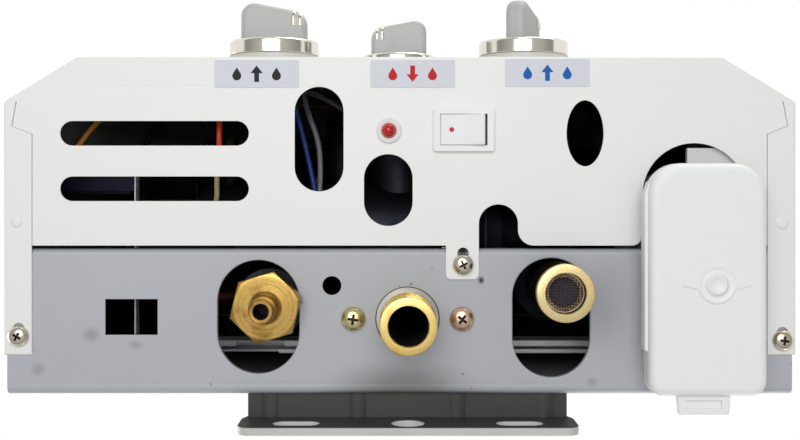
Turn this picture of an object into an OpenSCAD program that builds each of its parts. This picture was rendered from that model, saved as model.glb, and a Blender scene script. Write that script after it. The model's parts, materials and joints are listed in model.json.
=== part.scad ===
// Wall-hung gas water heater.
// Origin: centre of the lower wall bracket's middle hole, on the wall.
// Y = 0 is the wall, -Y is the front, +Z is up.

/* [Casing] */
// Width of the casing
casing_w = 300; // [292:1:330]
// Depth of the casing, from its front to the back of the bottom plate
casing_d = 128; // [126:1:150]
// Height of the casing
casing_h = 440; // [430:1:500]
// Casing centre line, measured from the wall bracket's centre line
casing_shift = -3; // [-6:0.5:0]
// Underside of the bottom plate, above the bracket's middle hole
underside = 8; // [7:0.5:10]
// Thickness of the folded sheet
sheet_t = 0.8; // [0.6:0.1:1]
// Width of each bevel beside the front face
bevel_w = 28; // [20:1:34]
// Depth of each bevel beside the front face
bevel_d = 17; // [12:1:20]
// Outer radius of the sheet's folds
fold_r = 3; // [2:0.5:5]
// Width of the cover's strips under the side walls
strip_w = 10.7; // [9:0.1:12]

/* [Wall brackets] */
// Gap between the back of the casing and the wall
stand_off = 12.3; // [11:0.1:16]
// Width of a bracket's wall flange
bracket_w = 126; // [120:1:140]
// Thickness of a bracket
bracket_t = 3; // [2:0.5:3.5]
// Diameter of a bracket's middle hole
bracket_hole_d = 12.4; // [10:0.2:13]
// Length of a bracket's slots, end to end
bracket_slot_l = 17.5; // [12:0.5:20]
// Width of a bracket's slots
bracket_slot_w = 8; // [6:0.5:9]
// Distance between the centres of a bracket's slots
bracket_slot_pitch = 83.2; // [76:0.2:90]

/* [Water] */
// Outer diameter of the pipe threads
thread_d = 20.955; // [20:0.005:21]
// Length of the pipe threads
thread_l = 22; // [18:1:24]
// Bore of the water fittings
water_bore = 14.5; // [12:0.5:15]
// How far the water fittings stand below the bottom plate
fitting_drop = 26; // [20:1:34]
// Diameter of the copper pipes
pipe_d = 13; // [12:0.5:14]
// Bend radius of the copper pipes
pipe_bend = 14; // [13:0.5:14]
// Water inlet, right of the water outlet
inlet_x = 56.2; // [55:0.1:57]
// Screw spacing of the outlet flange
outlet_screw_pitch = 41.2; // [40:0.2:44]

/* [Gas] */
// Width across the flats of the gas inlet's hexagon
gas_hex_af = 23; // [21:0.5:24]
// Gas inlet, left of the water outlet
gas_x = -53.2; // [-54:0.1:-52]
// Diameter of the gas nozzle at its root
nozzle_d = 11; // [9:0.5:13]
// Bore of the gas nozzle
nozzle_bore = 5.5; // [4:0.5:6]
// Number of burner bars
burner_count = 11; // [9:1:11]

/* [Knobs] */
// Distance between neighbouring knobs
knob_pitch = 52.6; // [50:0.1:54]
// Height of the knobs above the underside
knob_height = 50; // [48:1:54]
// Ring diameter of the outer knobs
knob_d = 37.5; // [34:0.5:40]
// Ring diameter of the middle knob
small_knob_d = 30.5; // [28:0.5:34]
// Angle of the water knob's pointer at rest
water_knob_angle = 69; // [45:1:90]
// Diameter of the valve spindles
spindle_d = 6; // [5:0.5:6]

/* [Electrics] */
// Diameter of a battery cell
cell_d = 33.2; // [32:0.1:33.6]
// Length of a battery cell
cell_l = 61.5; // [58:0.5:62]
// Width of the battery lid
lid_w = 41.4; // [40.4:0.2:43]
// Length of the battery lid
lid_l = 84.2; // [83:0.2:86]
// Diameter of the indicator lamp
led_d = 5.4; // [4.8:0.1:6]
// Length of the switch bezel
switch_l = 23; // [22.6:0.1:24]
// Width of the switch bezel
switch_w = 16.4; // [16:0.1:17]
// Tilt of the switch's rocker to either side
rocker_tilt = 7; // [5:0.5:8]
// Diameter of the wires
wire_d = 2.2; // [1.6:0.1:2.4]

/* [Fits] */
// Gap between pieces that move past each other
free_gap = 0.4; // [0.3:0.05:0.5]
// Radial gap of a shaft that turns or slides in its bore
shaft_gap = 0.05; // [0.03:0.01:0.1]

/* [Hidden] */

$fn = 64;
arc_steps = 6;
eps = 0.01;
through = 2;

// Casing planes
x_mid = casing_shift;
x_left = x_mid - casing_w / 2;
x_right = x_mid + casing_w / 2;
y_back = -stand_off;
y_front = y_back - casing_d;
z_flap = underside - sheet_t;
z_pan = underside + sheet_t;
z_top = underside + casing_h;
cover_rear = y_back - 15;
pan_front = y_back - 55.2;
flap_rear = pan_front - 1.3;
pan_half = casing_w / 2 - sheet_t - free_gap;
panel_y = y_back - sheet_t;
seam = 0.3;

// Underside of the cover, measured from the casing's centre line and its front
vent_size = [71.4, 9.3];
vents = [[-92.8, 29], [-92.8, 50]];
sight_slots = [[-30.5, 31.2, 18.5, 39.6], [-4.3, 50.5, 18.4, 27.2]];
oval = [70.2, 29, 14, 25];
notch = [37.4, 63.3, 14.8];
notch_flare = 6;
tab = [17.5, 30];
tab_l = 12.8;
tab_screw = [24, 7.2];
led_at = [-4.1, 28];
switch_at = [24.2, 27.7];
strip_screw_x = [5.8 - casing_w / 2, casing_w / 2 - 5.1];
strip_screw_y = [-22.3, -20.7];

// Bottom plate, measured from its back edge
outlet_y = y_back - 28.7;
gas_y = y_back - 33.6;
inlet_y = y_back - 40.5;
gas_cut = [gas_x - 3.4, y_back - 29.4, 31, 43];
inlet_cut = [inlet_x - 1.7, y_back - 29.1, 29.4, 45.2];
outlet_cut_d = 24.5;
drain_cut = [-104.7, y_back - 29.4, 19.9, 13.6];
round_cut = [-28.7, y_back - 41.3, 7.2];
rim_h = 2.2;

// Wall brackets
web_z = underside + 4;
bead_xs = [-52.5, -19, 19, 52.5];
rivet_z = underside + 12;
rivet_xs = [-48, -16, 16, 48];
rivet_r = 2;
rivet_play = 0.05;
z_mirror = (underside + z_top) / 2;

// Screws
m4_head = 8;
m4_core = 3.9;
m5_head = 9.4;
m5_core = 4.9;
screw_play = 0.1;

// Knobs and the valves behind them
knob_z = underside + knob_height;
gas_knob_x = x_mid - knob_pitch;
season_knob_x = x_mid;
water_knob_x = x_mid + knob_pitch;
knob_hole_d = 12;
spindle_tip = 13;
small_spindle_tip = 8;
valve_y = y_back - 59.7;
boss_front = valve_y - 40;
spindle_end = valve_y - 8;
gas_end = season_knob_x + 11;
gas_start = gas_knob_x - 28;
gas_body_r = 20;
gas_boss_r = 11;
tower_x = -30;
tower_top = knob_z + 40;
gas_stem_r = 9.5;
gas_stem_top = knob_z - 30;

// Knob sizes: ring diameter, skirt height, ring height, tip height, grip length, grip thickness
outer_knob = [knob_d, 7.2, 5, 29, 29, 8.5];
middle_knob = [small_knob_d, 1.5, 4.8, 20.6, 23.5, 7];
panel_gap = 0.5;
pointer_proud = 0.2;

// Linkage between the water valve and the gas valve
rod_r = 2;
rod_travel = 3;
rod_start = gas_end - 39;
rod_head_r = 12;
collar_r = 5;
cover_face = gas_end + 12;
diaphragm_x = cover_face + 11.2;
diaphragm_t = 0.8;
valve_flange_r = 27;
chamber_r = 22;
lever_x = gas_end + 6.3;
lever_pivot_z = knob_z + 26;

// Burner, chamber and exchanger
fire_half = casing_w / 2 - 50;
fire_front = y_back - 99.7;
fire_back = y_back - 15.7;
frame_bottom = underside + 132;
frame_top = frame_bottom + 70;
exchanger_bottom = z_top - 118;
exchanger_top = z_top - 64;
hood_top = z_top - sheet_t - free_gap - sheet_t;
tube_z = exchanger_bottom + 22;
tube_pitch = 16;
tube_r = 5.5;
tube_count = 5;
burner_pitch = 17;
jet_z = frame_bottom + 15;
manifold_y = fire_front - 11;
manifold_half = 7;
electrode_z = frame_top - 10;
ceramic_r = 2.5;
flue_r = 45;
flue_y = (fire_front + fire_back) / 2;
flue_h = 34;
window_size = [56, 16];
window_z = frame_top - 4;

// Pipes
cold_top_y = outlet_y - tube_pitch * (tube_count - 1);
cold_end = x_mid + fire_half + 6;
hot_end = x_mid - fire_half - 6;
riser_step = 28;
valve_nut_af = 24;
tube_nut_af = 17;
pipe_run_z = knob_z + 47;
valve_top = knob_z + 20;
valve_bottom = knob_z - 34;
outlet_top = underside + 22;

// Rocker switch
switch_x = x_mid + switch_at.x;
switch_y = y_front + switch_at.y;
switch_body = [switch_l - 3.8, switch_w - 3.2];
rocker_l = switch_l - 6;
rocker_w = switch_w - 5.4;
rocker_pivot_z = underside + 0.6;
rocker_pin_r = 1.2;

// Battery compartment
battery_x = x_right - 38.4;
box_front = y_back - 84;
box_back = y_back - 5.7;
box_half = cell_d / 2 + 0.3 + 1.5;
box_wall = 1.5;
box_bottom = underside - 9;
cell_z = underside - 4;
box_top = cell_z + cell_l + 4.5;
cell_ys = [for (s = [-1, 1]) (box_front + box_back) / 2 + s * (cell_d + 1) / 2];
arc_y = y_back - 75.6;
arc_r = 19.7;
lid_x = battery_x + 0.6;
lid_back = y_back - 3.1;
lid_front = lid_back - lid_l;
lid_top = box_bottom - free_gap;
lid_bottom = underside - 18.4;
lid_corner = 12;
lid_rear_corner = 5.5;
hinge_y = box_front - 0.7;
hinge_z = underside - 6;
hinge_pin_r = 1.1;
hinge_eye_r = 2.3;
hinge_half = 11.2;
ear_half = hinge_half - 3.2;
eye_w = 2.4;

// Ignition module, on the back panel's left side, in front of the solenoid
module_size = [41, 17.5, 60];
module_at = [x_mid - pan_half + sheet_t, valve_y - 35, underside + 32];

// Wire routes; each starts and ends a little off the pieces that it joins
wire_end = 0.1;
module_face = module_at.x + module_size.x;
lamp = [x_mid + led_at.x, y_front + led_at.y];
cell_side = battery_x - box_half;
switch_top = underside + 26.4;
spark_x = x_mid - burner_pitch / 2;
sense_x = x_mid + burner_pitch / 2;
lead_end = fire_front - 12 - wire_end;
coil_mid = gas_start - 15;
route_blue = [[lamp.x - 1.3, lamp.y, underside + 14.4], [lamp.x - 1.3, lamp.y, underside + 28],
    [-24, -127, 46], [-45, -125, 42], [-36.5, -91, 32], [-60, -88, 30], [-78, -101, 31],
    [module_face + 8, -101, 52], [module_face + wire_end, -101, 52]];
route_red = [[switch_x - 4, switch_y, switch_top], [switch_x - 4, switch_y, switch_top + 12],
    [6, -126, 72], [-64, -130, 72], [-77.3, -126, 52], [-77.3, -108, 44], [-84, -95, 60],
    [module_face + 8, -95, 72], [module_face + wire_end, -95, 72]];
route_grey = [[gas_end - 10.6, valve_y, knob_z + 40.1], [gas_end - 10.6, valve_y, knob_z + 52],
    [-8, -114, 100], [-38, -128, 68], [-38, -116, 47], [-34, -98, 43], [-36, -88, 38], [-60, -95, 37],
    [-80, -104.5, 34], [module_face + 8, -104.5, 46], [module_face + wire_end, -104.5, 46]];
route_feed = [[cell_side - wire_end, -74, 58], [cell_side - 8, -74, 58], [60, -112, 40], [34, -116, 50],
    [switch_x + 4, switch_y, switch_top + 10], [switch_x + 4, switch_y, switch_top]];
route_coil = [[module_face + wire_end, -93, 92], [module_face + 6, -93, 92], [coil_mid, valve_y, 90],
    [coil_mid, valve_y, knob_z + 14 + wire_end]];
route_spark = [[module_at.x + 13, -98, module_at.z - wire_end], [module_at.x + 13, -98, 30],
    [-122, -120, 31], [-112, -132.5, 60], [-50, -132.5, 150], [spark_x, -133, electrode_z],
    [spark_x, lead_end, electrode_z]];
route_sense = [[module_at.x + 23, -98, module_at.z + module_size.z + wire_end],
    [module_at.x + 23, -98, 112], [-112, -136, 122], [-30, -136, 134], [sense_x, -135, 150],
    [sense_x, -133, electrode_z], [sense_x, lead_end, electrode_z]];

function unit(v) = v / norm(v);

// Arc of radius r that rounds corner b between its neighbours a and c
function corner(a, b, c, r) =
    let (
        u = unit(a - b),
        v = unit(c - b),
        half = acos(u * v) / 2,
        centre = b + unit(u + v) * r / sin(half),
        p = b + u * r / tan(half) - centre,
        q = b + v * r / tan(half) - centre,
        start = atan2(p.y, p.x),
        turn = (atan2(q.y, q.x) - start + 540) % 360 - 180
    )
    [for (i = [0 : arc_steps])
        let (a = start + turn * i / arc_steps)
        centre + r * [cos(a), sin(a)]];

// Closed outline with each corner rounded by its own radius
function rounded(points, radii) =
    let (n = len(points))
    [for (i = [0 : n - 1]) each radii[i] == 0
        ? [points[i]]
        : corner(points[(i + n - 1) % n], points[i], points[(i + 1) % n], radii[i])];

function rectangle(lo, hi) = [lo, [hi.x, lo.y], hi, [lo.x, hi.y]];

// Plan of the cover, set in by d, about the casing's centre line
function casing_outline(d, rear) =
    let (
        run = norm([bevel_w, bevel_d]),
        nx = bevel_d / run,
        ny = bevel_w / run,
        half = casing_w / 2 - d,
        y_side = y_front + bevel_d + d * (1 - nx) / ny,
        x_face = casing_w / 2 - (d + ny * (bevel_d - d)) / nx,
        r = fold_r - d
    )
    rounded(
        [[-half, rear], [-half, y_side], [-x_face, y_front + d],
            [x_face, y_front + d], [half, y_side], [half, rear]],
        [0, r, r, r, r, 0]
    );

// Plan of the strip under the left side wall, widened by d
function strip_zone(d) =
    let (edge = -casing_w / 2)
    [
        [edge - 1, cover_rear + 1], [edge + strip_w + d, cover_rear + 1],
        [edge + strip_w + d, y_front + bevel_d + 12.3], [edge + 3 + d, y_front + bevel_d + 9.3],
        [edge + 4.7 + d, y_front + bevel_d], [edge - 1, y_front + bevel_d]
    ];

// Route with its inner corners cut off
function softened(p) =
    let (n = len(p))
    [p[0],
        for (i = [1 : n - 2]) for (k = [i - 1, i + 1]) 0.75 * p[i] + 0.25 * p[k],
        p[n - 1]];

// Side of a knob's grip, set in by d: a high round end, sloping down to the pointer
function grip_side(l, base, tip, d) =
    rounded(
        [[-l / 2 + d, base], [-l / 2 + d, tip - d], [l / 2 - d, tip - 0.19 * l - d], [l / 2 - d, base]],
        [0, 0.2 * l - d, 0.24 * l - d, 0]
    );

module block(lo, hi) {
    translate(lo) cube(hi - lo);
}

module rod_x(p, r, l) {
    translate(p) rotate([0, 90, 0]) cylinder(r = r, h = l);
}

module rod_y(p, r, l) {
    translate(p) rotate([-90, 0, 0]) cylinder(r = r, h = l);
}

module rod_z(p, r, l) {
    translate(p) cylinder(r = r, h = l);
}

// Slot with round ends, w across and l end to end, lying along Y
module slot_2d(w, l) {
    square([w, l - w], center = true);
    for (s = [-1, 1]) translate([0, s * (l - w) / 2]) circle(d = w);
}

// What a rounded outer corner takes away; the corner is at the origin, the sheet towards -X and -Y
module corner_cut_2d(r) {
    difference() {
        translate([-r, -r]) square(r + eps);
        translate([-r, -r]) circle(r);
    }
}

module ring_2d(outer, inner) {
    difference() {
        circle(outer);
        circle(inner);
    }
}

// Extrudes a side view, drawn as Y and Z, along X
module along_x(x, l) {
    translate([x, 0, 0]) rotate([90, 0, 90]) linear_extrude(l) children();
}

// Extrudes a front view, drawn as X and Z, along Y
module along_y(y, l) {
    translate([0, y + l, 0]) rotate([90, 0, 0]) linear_extrude(l) children();
}

// Places a shape with its own axes e1, e2 and e1 x e2 at p
module oriented(p, e1, e2) {
    e3 = cross(e1, e2);
    multmatrix([
        [e1.x, e2.x, e3.x, p.x],
        [e1.y, e2.y, e3.y, p.y],
        [e1.z, e2.z, e3.z, p.z],
        [0, 0, 0, 1]
    ]) children();
}

// Tube through square-cornered points, with round bends
module bent_tube(points, outer, inner, bend) {
    n = len(points);
    for (i = [0 : n - 2]) {
        d = unit(points[i + 1] - points[i]);
        side = abs(d.z) > 0.5 ? [1, 0, 0] : [0, 0, 1];
        from = points[i] + d * (i == 0 ? 0 : bend);
        to = points[i + 1] - d * (i == n - 2 ? 0 : bend);
        oriented(from, side, cross(d, side)) linear_extrude(norm(to - from)) ring_2d(outer, inner);
    }
    for (i = [1 : n - 2]) {
        a = unit(points[i - 1] - points[i]);
        b = unit(points[i + 1] - points[i]);
        oriented(points[i] + (a + b) * bend, -b, -a)
            rotate_extrude(angle = 90) translate([bend, 0]) ring_2d(outer, inner);
    }
}

// Wire swept along a route that is softened twice
module wire(route) {
    path = softened(softened(route));
    n = len(path);
    sides = 8;
    lean = unit([0.3, 1, 0.9]);
    rings = [for (i = [0 : n - 1])
        let (
            t = unit(path[min(i + 1, n - 1)] - path[max(i - 1, 0)]),
            u = unit(cross(t, lean)),
            v = cross(t, u)
        )
        [for (k = [0 : sides - 1])
            let (a = 360 * k / sides)
            path[i] + wire_d / 2 * (u * cos(a) + v * sin(a))]];
    points = [for (ring = rings) each ring];
    walls = [for (i = [0 : n - 2]) for (k = [0 : sides - 1])
        let (
            m = (k + 1) % sides,
            here = i * sides,
            next = here + sides
        )
        each [[here + k, next + k, next + m], [here + k, next + m, here + m]]];
    first = [for (k = [0 : sides - 1]) k];
    last = [for (k = [sides - 1 : -1 : 0]) (n - 1) * sides + k];
    polyhedron(points, concat(walls, [first, last]));
}

// Pan-head screw that points up, with the underside of its head at the origin
module screw_up(head, core, l) {
    head_h = 0.34 * head;
    r = head / 2;
    rotate_extrude() polygon(rounded([[0, -head_h], [r, -head_h], [r, 0], [0, 0]], [0, 0.6 * head_h, 0, 0]));
    rod_z([0, 0, -eps], core / 2, l + eps);
}

// Casing

module cover_underside_2d() {
    difference() {
        union() {
            polygon(casing_outline(0, flap_rear));
            polygon(rounded(
                rectangle([tab[0], flap_rear - 1], [tab[1], flap_rear + tab_l]),
                [0, 0, 2, 2]
            ));
        }
        for (s = [0, 1]) mirror([s, 0]) polygon(strip_zone(seam));
        for (v = vents) translate([v.x, y_front + v.y]) rotate(90) slot_2d(vent_size.y, vent_size.x);
        for (v = sight_slots) translate([v.x, y_front + v.y]) slot_2d(v[2], v[3]);
        translate([oval.x, y_front + oval.y])
            polygon([for (a = [0 : 7.5 : 352.5]) [oval[2] / 2 * cos(a), oval[3] / 2 * sin(a)]]);
        translate([notch.x, y_front + notch.y]) {
            circle(d = notch[2]);
            translate([-notch[2] / 2, 0]) square([notch[2], flap_rear - y_front - notch.y + eps]);
        }
        translate([notch.x + notch[2] / 2, flap_rear]) mirror([1, 0]) corner_cut_2d(notch_flare);
        translate([battery_x - x_mid, arc_y]) {
            circle(arc_r);
            translate([-arc_r, 0]) square([2 * arc_r, flap_rear - arc_y + eps]);
        }
        translate([battery_x - x_mid - arc_r, flap_rear]) corner_cut_2d(4);
        translate([tab_screw.x, flap_rear + tab_screw.y - 3.2]) slot_2d(m4_core + 0.4, m4_core + 6.8);
        translate([led_at.x, y_front + led_at.y]) circle(d = led_d + 2.4);
        translate([switch_x - x_mid, switch_y])
            square([switch_body.x + free_gap, switch_body.y + free_gap], center = true);
    }
    for (s = [0, 1]) difference() {
        mirror([s, 0]) intersection() {
            polygon(casing_outline(0, cover_rear));
            polygon(strip_zone(0));
        }
        translate([strip_screw_x[s], y_back + strip_screw_y[s] - 1.4]) slot_2d(m4_core + 0.4, m4_core + 3.2);
    }
}

module cover_top_2d() {
    difference() {
        polygon(casing_outline(0, cover_rear));
        translate([0, flue_y]) {
            circle(flue_r + 4);
            translate([-flue_r - 4, 0]) square([2 * flue_r + 8, cover_rear - flue_y + eps]);
        }
    }
}

module front_cover() {
    color("whitesmoke") difference() {
        translate([x_mid, 0, 0]) {
            translate([0, 0, z_flap]) linear_extrude(z_top - z_flap) difference() {
                polygon(casing_outline(0, cover_rear));
                polygon(casing_outline(sheet_t, cover_rear + through));
            }
            translate([0, 0, z_flap]) linear_extrude(sheet_t) cover_underside_2d();
            translate([0, 0, z_top - sheet_t]) linear_extrude(sheet_t) cover_top_2d();
        }
        for (x = [gas_knob_x, season_knob_x, water_knob_x])
            rod_y([x, y_front - through, knob_z], knob_hole_d / 2, 2 * through + sheet_t);
        along_y(y_front - through, 2 * through + sheet_t)
            translate([x_mid, window_z]) rotate(90) slot_2d(window_size.y, window_size.x);
    }
}

module flame_window() {
    lap = 6;
    color("lightsteelblue", 0.6) along_y(y_front + sheet_t, 3)
        translate([x_mid, window_z]) rotate(90) slot_2d(window_size.y + lap, window_size.x + lap);
}

module back_panel() {
    return_l = 95;
    top_l = 30;
    inner = pan_half - sheet_t;
    ceiling = z_top - sheet_t - free_gap;
    pad_half = bracket_w / 2;
    color("silver") difference() {
        translate([x_mid, 0, 0]) {
            translate([-x_mid, 0, 0])
                block([-pad_half, panel_y - eps, z_top - 26], [pad_half, y_back, z_top - 6]);
            translate([0, 0, z_pan]) linear_extrude(ceiling - z_pan) difference() {
                polygon(rounded(
                    rectangle([-pan_half, panel_y - return_l], [pan_half, panel_y]), [0, 0, fold_r, fold_r]
                ));
                polygon(rounded(
                    rectangle([-inner, panel_y - return_l - through], [inner, panel_y - sheet_t]),
                    [0, 0, fold_r - sheet_t, fold_r - sheet_t]
                ));
            }
            translate([0, 0, ceiling - sheet_t]) linear_extrude(sheet_t) difference() {
                translate([-inner - eps, panel_y - top_l])
                    square([2 * inner + 2 * eps, top_l - sheet_t / 2]);
                translate([0, flue_y]) circle(flue_r + 8);
            }
        }
        block([x_left, panel_y - fold_r, z_pan - 1], [x_right, y_back, z_pan + fold_r]);
        rivet_holes();
    }
    color("silver") stiffener();
}

// Channel across the back panel, open downwards, that stands off the panel on three straps
module stiffener() {
    low = underside + 52;
    high = low + 15;
    front = panel_y - 12.9;
    rear = front + 4.6;
    left = x_mid - pan_half + 2;
    right = battery_x - box_half - 3;
    strap_w = 12;
    for (y = [front, rear - sheet_t]) block([left, y, low], [right, y + sheet_t, high]);
    block([left, front, high - sheet_t], [right, rear, high]);
    for (x = [left + strap_w, -20, 20])
        block([x - strap_w / 2, rear - eps, high - sheet_t],
            [x + strap_w / 2, panel_y - sheet_t + eps, high]);
}

module bottom_plate() {
    front_h = 7;
    back_h = 16;
    color("lightslategray") difference() {
        union() {
            along_x(x_mid - pan_half, 2 * pan_half) difference() {
                polygon(rounded(
                    [[pan_front, underside + front_h], [pan_front, underside], [y_back, underside],
                        [y_back, underside + back_h]],
                    [0, 2.2, fold_r, 0]
                ));
                polygon(rounded(
                    [[pan_front + sheet_t, underside + back_h], [pan_front + sheet_t, z_pan],
                        [panel_y, z_pan], [panel_y, underside + 2 * back_h]],
                    [0, 1.4, fold_r - sheet_t, 0]
                ));
            }
            for (c = [gas_cut, inlet_cut])
                translate([c.x, c.y, underside]) linear_extrude(rim_h)
                    slot_2d(c[2] + 2 * sheet_t, c[3] + 2 * sheet_t);
        }
        for (c = [gas_cut, inlet_cut])
            translate([c.x, c.y, underside - through]) linear_extrude(3 * through) slot_2d(c[2], c[3]);
        rod_z([0, outlet_y, underside - through], outlet_cut_d / 2, 3 * through);
        translate([drain_cut.x, drain_cut.y, underside])
            cube([drain_cut[2], drain_cut[3], 3 * through], center = true);
        rod_z([round_cut.x, round_cut.y, underside - through], round_cut[2] / 2, 3 * through);
        for (p = outlet_screw_places())
            rod_z([p.x, p.y, underside - through], m5_core / 2 + screw_play, 3 * through);
        for (p = cover_screw_places())
            rod_z([p.x, p.y, underside - through], m4_core / 2 + screw_play, 3 * through);
        translate([0, 0, underside - through]) linear_extrude(20) polygon(rounded(
            rectangle([battery_x - box_half - 1, pan_front - 1], [battery_x + box_half + 1, box_back + 1]),
            [0, 0, 7, 7]
        ));
        rivet_holes();
    }
}

function cover_screw_places() = [
    [x_mid + tab_screw.x, flap_rear + tab_screw.y],
    for (s = [0, 1]) [x_mid + strip_screw_x[s], y_back + strip_screw_y[s]]
];

function outlet_screw_places() = [for (s = [-1, 1]) [s * outlet_screw_pitch / 2, outlet_y]];

module cover_screws() {
    color("gainsboro") for (p = cover_screw_places())
        translate([p.x, p.y, z_flap]) screw_up(m4_head, m4_core, 7);
}

// Wall brackets

// Repeats its children upside down for the upper bracket
module upper() {
    translate([0, 0, 2 * z_mirror]) mirror([0, 0, 1]) children();
}

module wall_bracket() {
    flange_drop = 8;
    foot_h = 20;
    web_w = bracket_w - 4;
    bead_r = 9.2;
    bead_h = 0.8;
    difference() {
        union() {
            along_y(-bracket_t, bracket_t) polygon(rounded(
                [[-bracket_w / 2, -flange_drop], [bracket_w / 2, -flange_drop],
                    [bracket_w / 2, web_z - 3], [web_w / 2, web_z + bracket_t],
                    [-web_w / 2, web_z + bracket_t], [-bracket_w / 2, web_z - 3]],
                [5, 5, 3, 0, 0, 3]
            ));
            block([-web_w / 2, y_back, web_z], [web_w / 2, -eps, web_z + bracket_t]);
            block([-web_w / 2, y_back, web_z], [web_w / 2, y_back + bracket_t, web_z + foot_h]);
            intersection() {
                for (x = bead_xs) rod_y([x, y_back, web_z + bead_r - bead_h], bead_r, stand_off - 1);
                block([-web_w / 2, y_back, 0], [web_w / 2, -1, web_z + bracket_t]);
            }
        }
        rod_y([0, -bracket_t - through, 0], bracket_hole_d / 2, bracket_t + 2 * through);
        for (s = [-1, 1]) along_y(-bracket_t - through, bracket_t + 2 * through)
            translate([s * bracket_slot_pitch / 2, 0]) rotate(90) slot_2d(bracket_slot_w, bracket_slot_l);
        for (x = rivet_xs)
            rod_y([x, y_back - through, rivet_z], rivet_r + rivet_play, bracket_t + 2 * through);
    }
}

module lower_wall_bracket() {
    color("darkgray") wall_bracket();
}

module upper_wall_bracket() {
    color("darkgray") upper() wall_bracket();
}

module rivet_holes() {
    for (x = rivet_xs) {
        rod_y([x, y_back - 3 * through, rivet_z], rivet_r + rivet_play, 4 * through);
        upper() rod_y([x, y_back - 3 * through, rivet_z], rivet_r + rivet_play, 4 * through);
    }
}

// Rivet through a bracket and the sheets in front of it
module rivet(sheets) {
    head_r = 3.6;
    head_h = 1.2;
    front = y_back - sheets * sheet_t;
    rod_y([0, front - eps, 0], rivet_r, sheets * sheet_t + bracket_t + 2 * eps);
    rod_y([0, front - head_h, 0], head_r, head_h);
    rod_y([0, y_back + bracket_t, 0], head_r, head_h);
}

module bracket_rivets() {
    color("lightgray") for (x = rivet_xs) {
        translate([x, 0, rivet_z]) rivet(2);
        upper() translate([x, 0, rivet_z]) rivet(2);
    }
}

// Flue, chamber and exchanger

module flue_hood() {
    shoulder = 36;
    neck = 62;
    hood = function(d, bottom) [
        [-fire_half + d, bottom], [fire_half - d, bottom],
        [fire_half - d, hood_top - shoulder], [neck - d, hood_top - d],
        [-neck + d, hood_top - d], [-fire_half + d, hood_top - shoulder]
    ];
    color("silver") {
        difference() {
            translate([x_mid, 0, 0]) along_y(fire_front, fire_back - fire_front)
                polygon(hood(0, exchanger_top));
            translate([x_mid, 0, 0]) along_y(fire_front + sheet_t, fire_back - fire_front - 2 * sheet_t)
                polygon(hood(sheet_t, exchanger_top - through));
            rod_z([x_mid, flue_y, hood_top - through], flue_r - sheet_t, 2 * through);
        }
        translate([x_mid, flue_y, hood_top]) linear_extrude(flue_h) ring_2d(flue_r, flue_r - sheet_t);
        for (s = [-1, 1])
            block([x_mid + s * 80 - 10, fire_back - eps, exchanger_top + 8],
                [x_mid + s * 80 + 10, panel_y - sheet_t, exchanger_top + 8 + sheet_t]);
    }
}

module fire_wall_2d(d) {
    polygon(rounded(
        rectangle([x_mid - fire_half + d, fire_front + d], [x_mid + fire_half - d, fire_back - d]),
        [for (i = [0 : 3]) 4 - d]
    ));
}

module combustion_chamber() {
    bead = 1.2;
    color("peru") difference() {
        union() {
            translate([0, 0, frame_top]) linear_extrude(exchanger_bottom - frame_top) fire_wall_2d(0);
            for (z = [frame_top + 22, exchanger_bottom - 22])
                translate([0, 0, z]) linear_extrude(5) fire_wall_2d(-bead);
        }
        translate([0, 0, frame_top - 1]) linear_extrude(exchanger_bottom - frame_top + 2)
            fire_wall_2d(sheet_t);
    }
}

module heat_exchanger() {
    fin_count = 33;
    fin_t = 0.5;
    fin_edge = 4;
    fin_inset = 0.5;
    fin_hole_r = 3;
    fin_pitch = 2 * (fire_half - fin_edge) / (fin_count - 1);
    tube_y = function(i) outlet_y - tube_pitch * i;
    color("chocolate") {
        translate([0, 0, exchanger_bottom]) linear_extrude(exchanger_top - exchanger_bottom) difference() {
            fire_wall_2d(0);
            fire_wall_2d(1.2);
        }
        for (i = [0 : fin_count - 1]) difference() {
            x = x_mid - fire_half + fin_edge + i * fin_pitch;
            block([x - fin_t / 2, fire_front + 1, exchanger_bottom + fin_inset],
                [x + fin_t / 2, fire_back - 1, exchanger_top - fin_inset]);
            for (k = [0 : tube_count - 2])
                rod_x([x - 1, tube_y(k) - tube_pitch / 2, tube_z + 16], fin_hole_r, 2);
        }
        for (i = [0 : tube_count - 1]) {
            start = i == 0 ? hot_end : x_mid - fire_half - 2;
            finish = i == tube_count - 1 ? cold_end : x_mid + fire_half + 2;
            rod_x([start, tube_y(i), tube_z], tube_r, finish - start);
        }
        for (i = [0 : tube_count - 2]) {
            right = i % 2 == 0;
            translate([x_mid + (right ? 1 : -1) * (fire_half + 2), tube_y(i) - tube_pitch / 2, tube_z])
                rotate(right ? -90 : 90)
                rotate_extrude(angle = 180) translate([tube_pitch / 2, 0]) circle(tube_r);
        }
    }
}

module burner_frame() {
    color("darkgray") difference() {
        union() {
            translate([0, 0, frame_bottom]) linear_extrude(frame_top - frame_bottom) difference() {
                fire_wall_2d(0);
                fire_wall_2d(sheet_t);
            }
            for (s = [-1, 1])
                block([x_mid + s * 80 - 10, fire_back - eps, frame_bottom + 40],
                    [x_mid + s * 80 + 10, panel_y - sheet_t, frame_bottom + 40 + sheet_t]);
        }
        for (x = burner_xs()) rod_y([x, fire_front - 1, jet_z], 4.5, 4);
        for (x = electrode_xs()) rod_y([x, fire_front - 1, electrode_z], ceramic_r, 4);
    }
}

function burner_xs() =
    [for (i = [0 : burner_count - 1]) x_mid + (i - (burner_count - 1) / 2) * burner_pitch];

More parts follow.
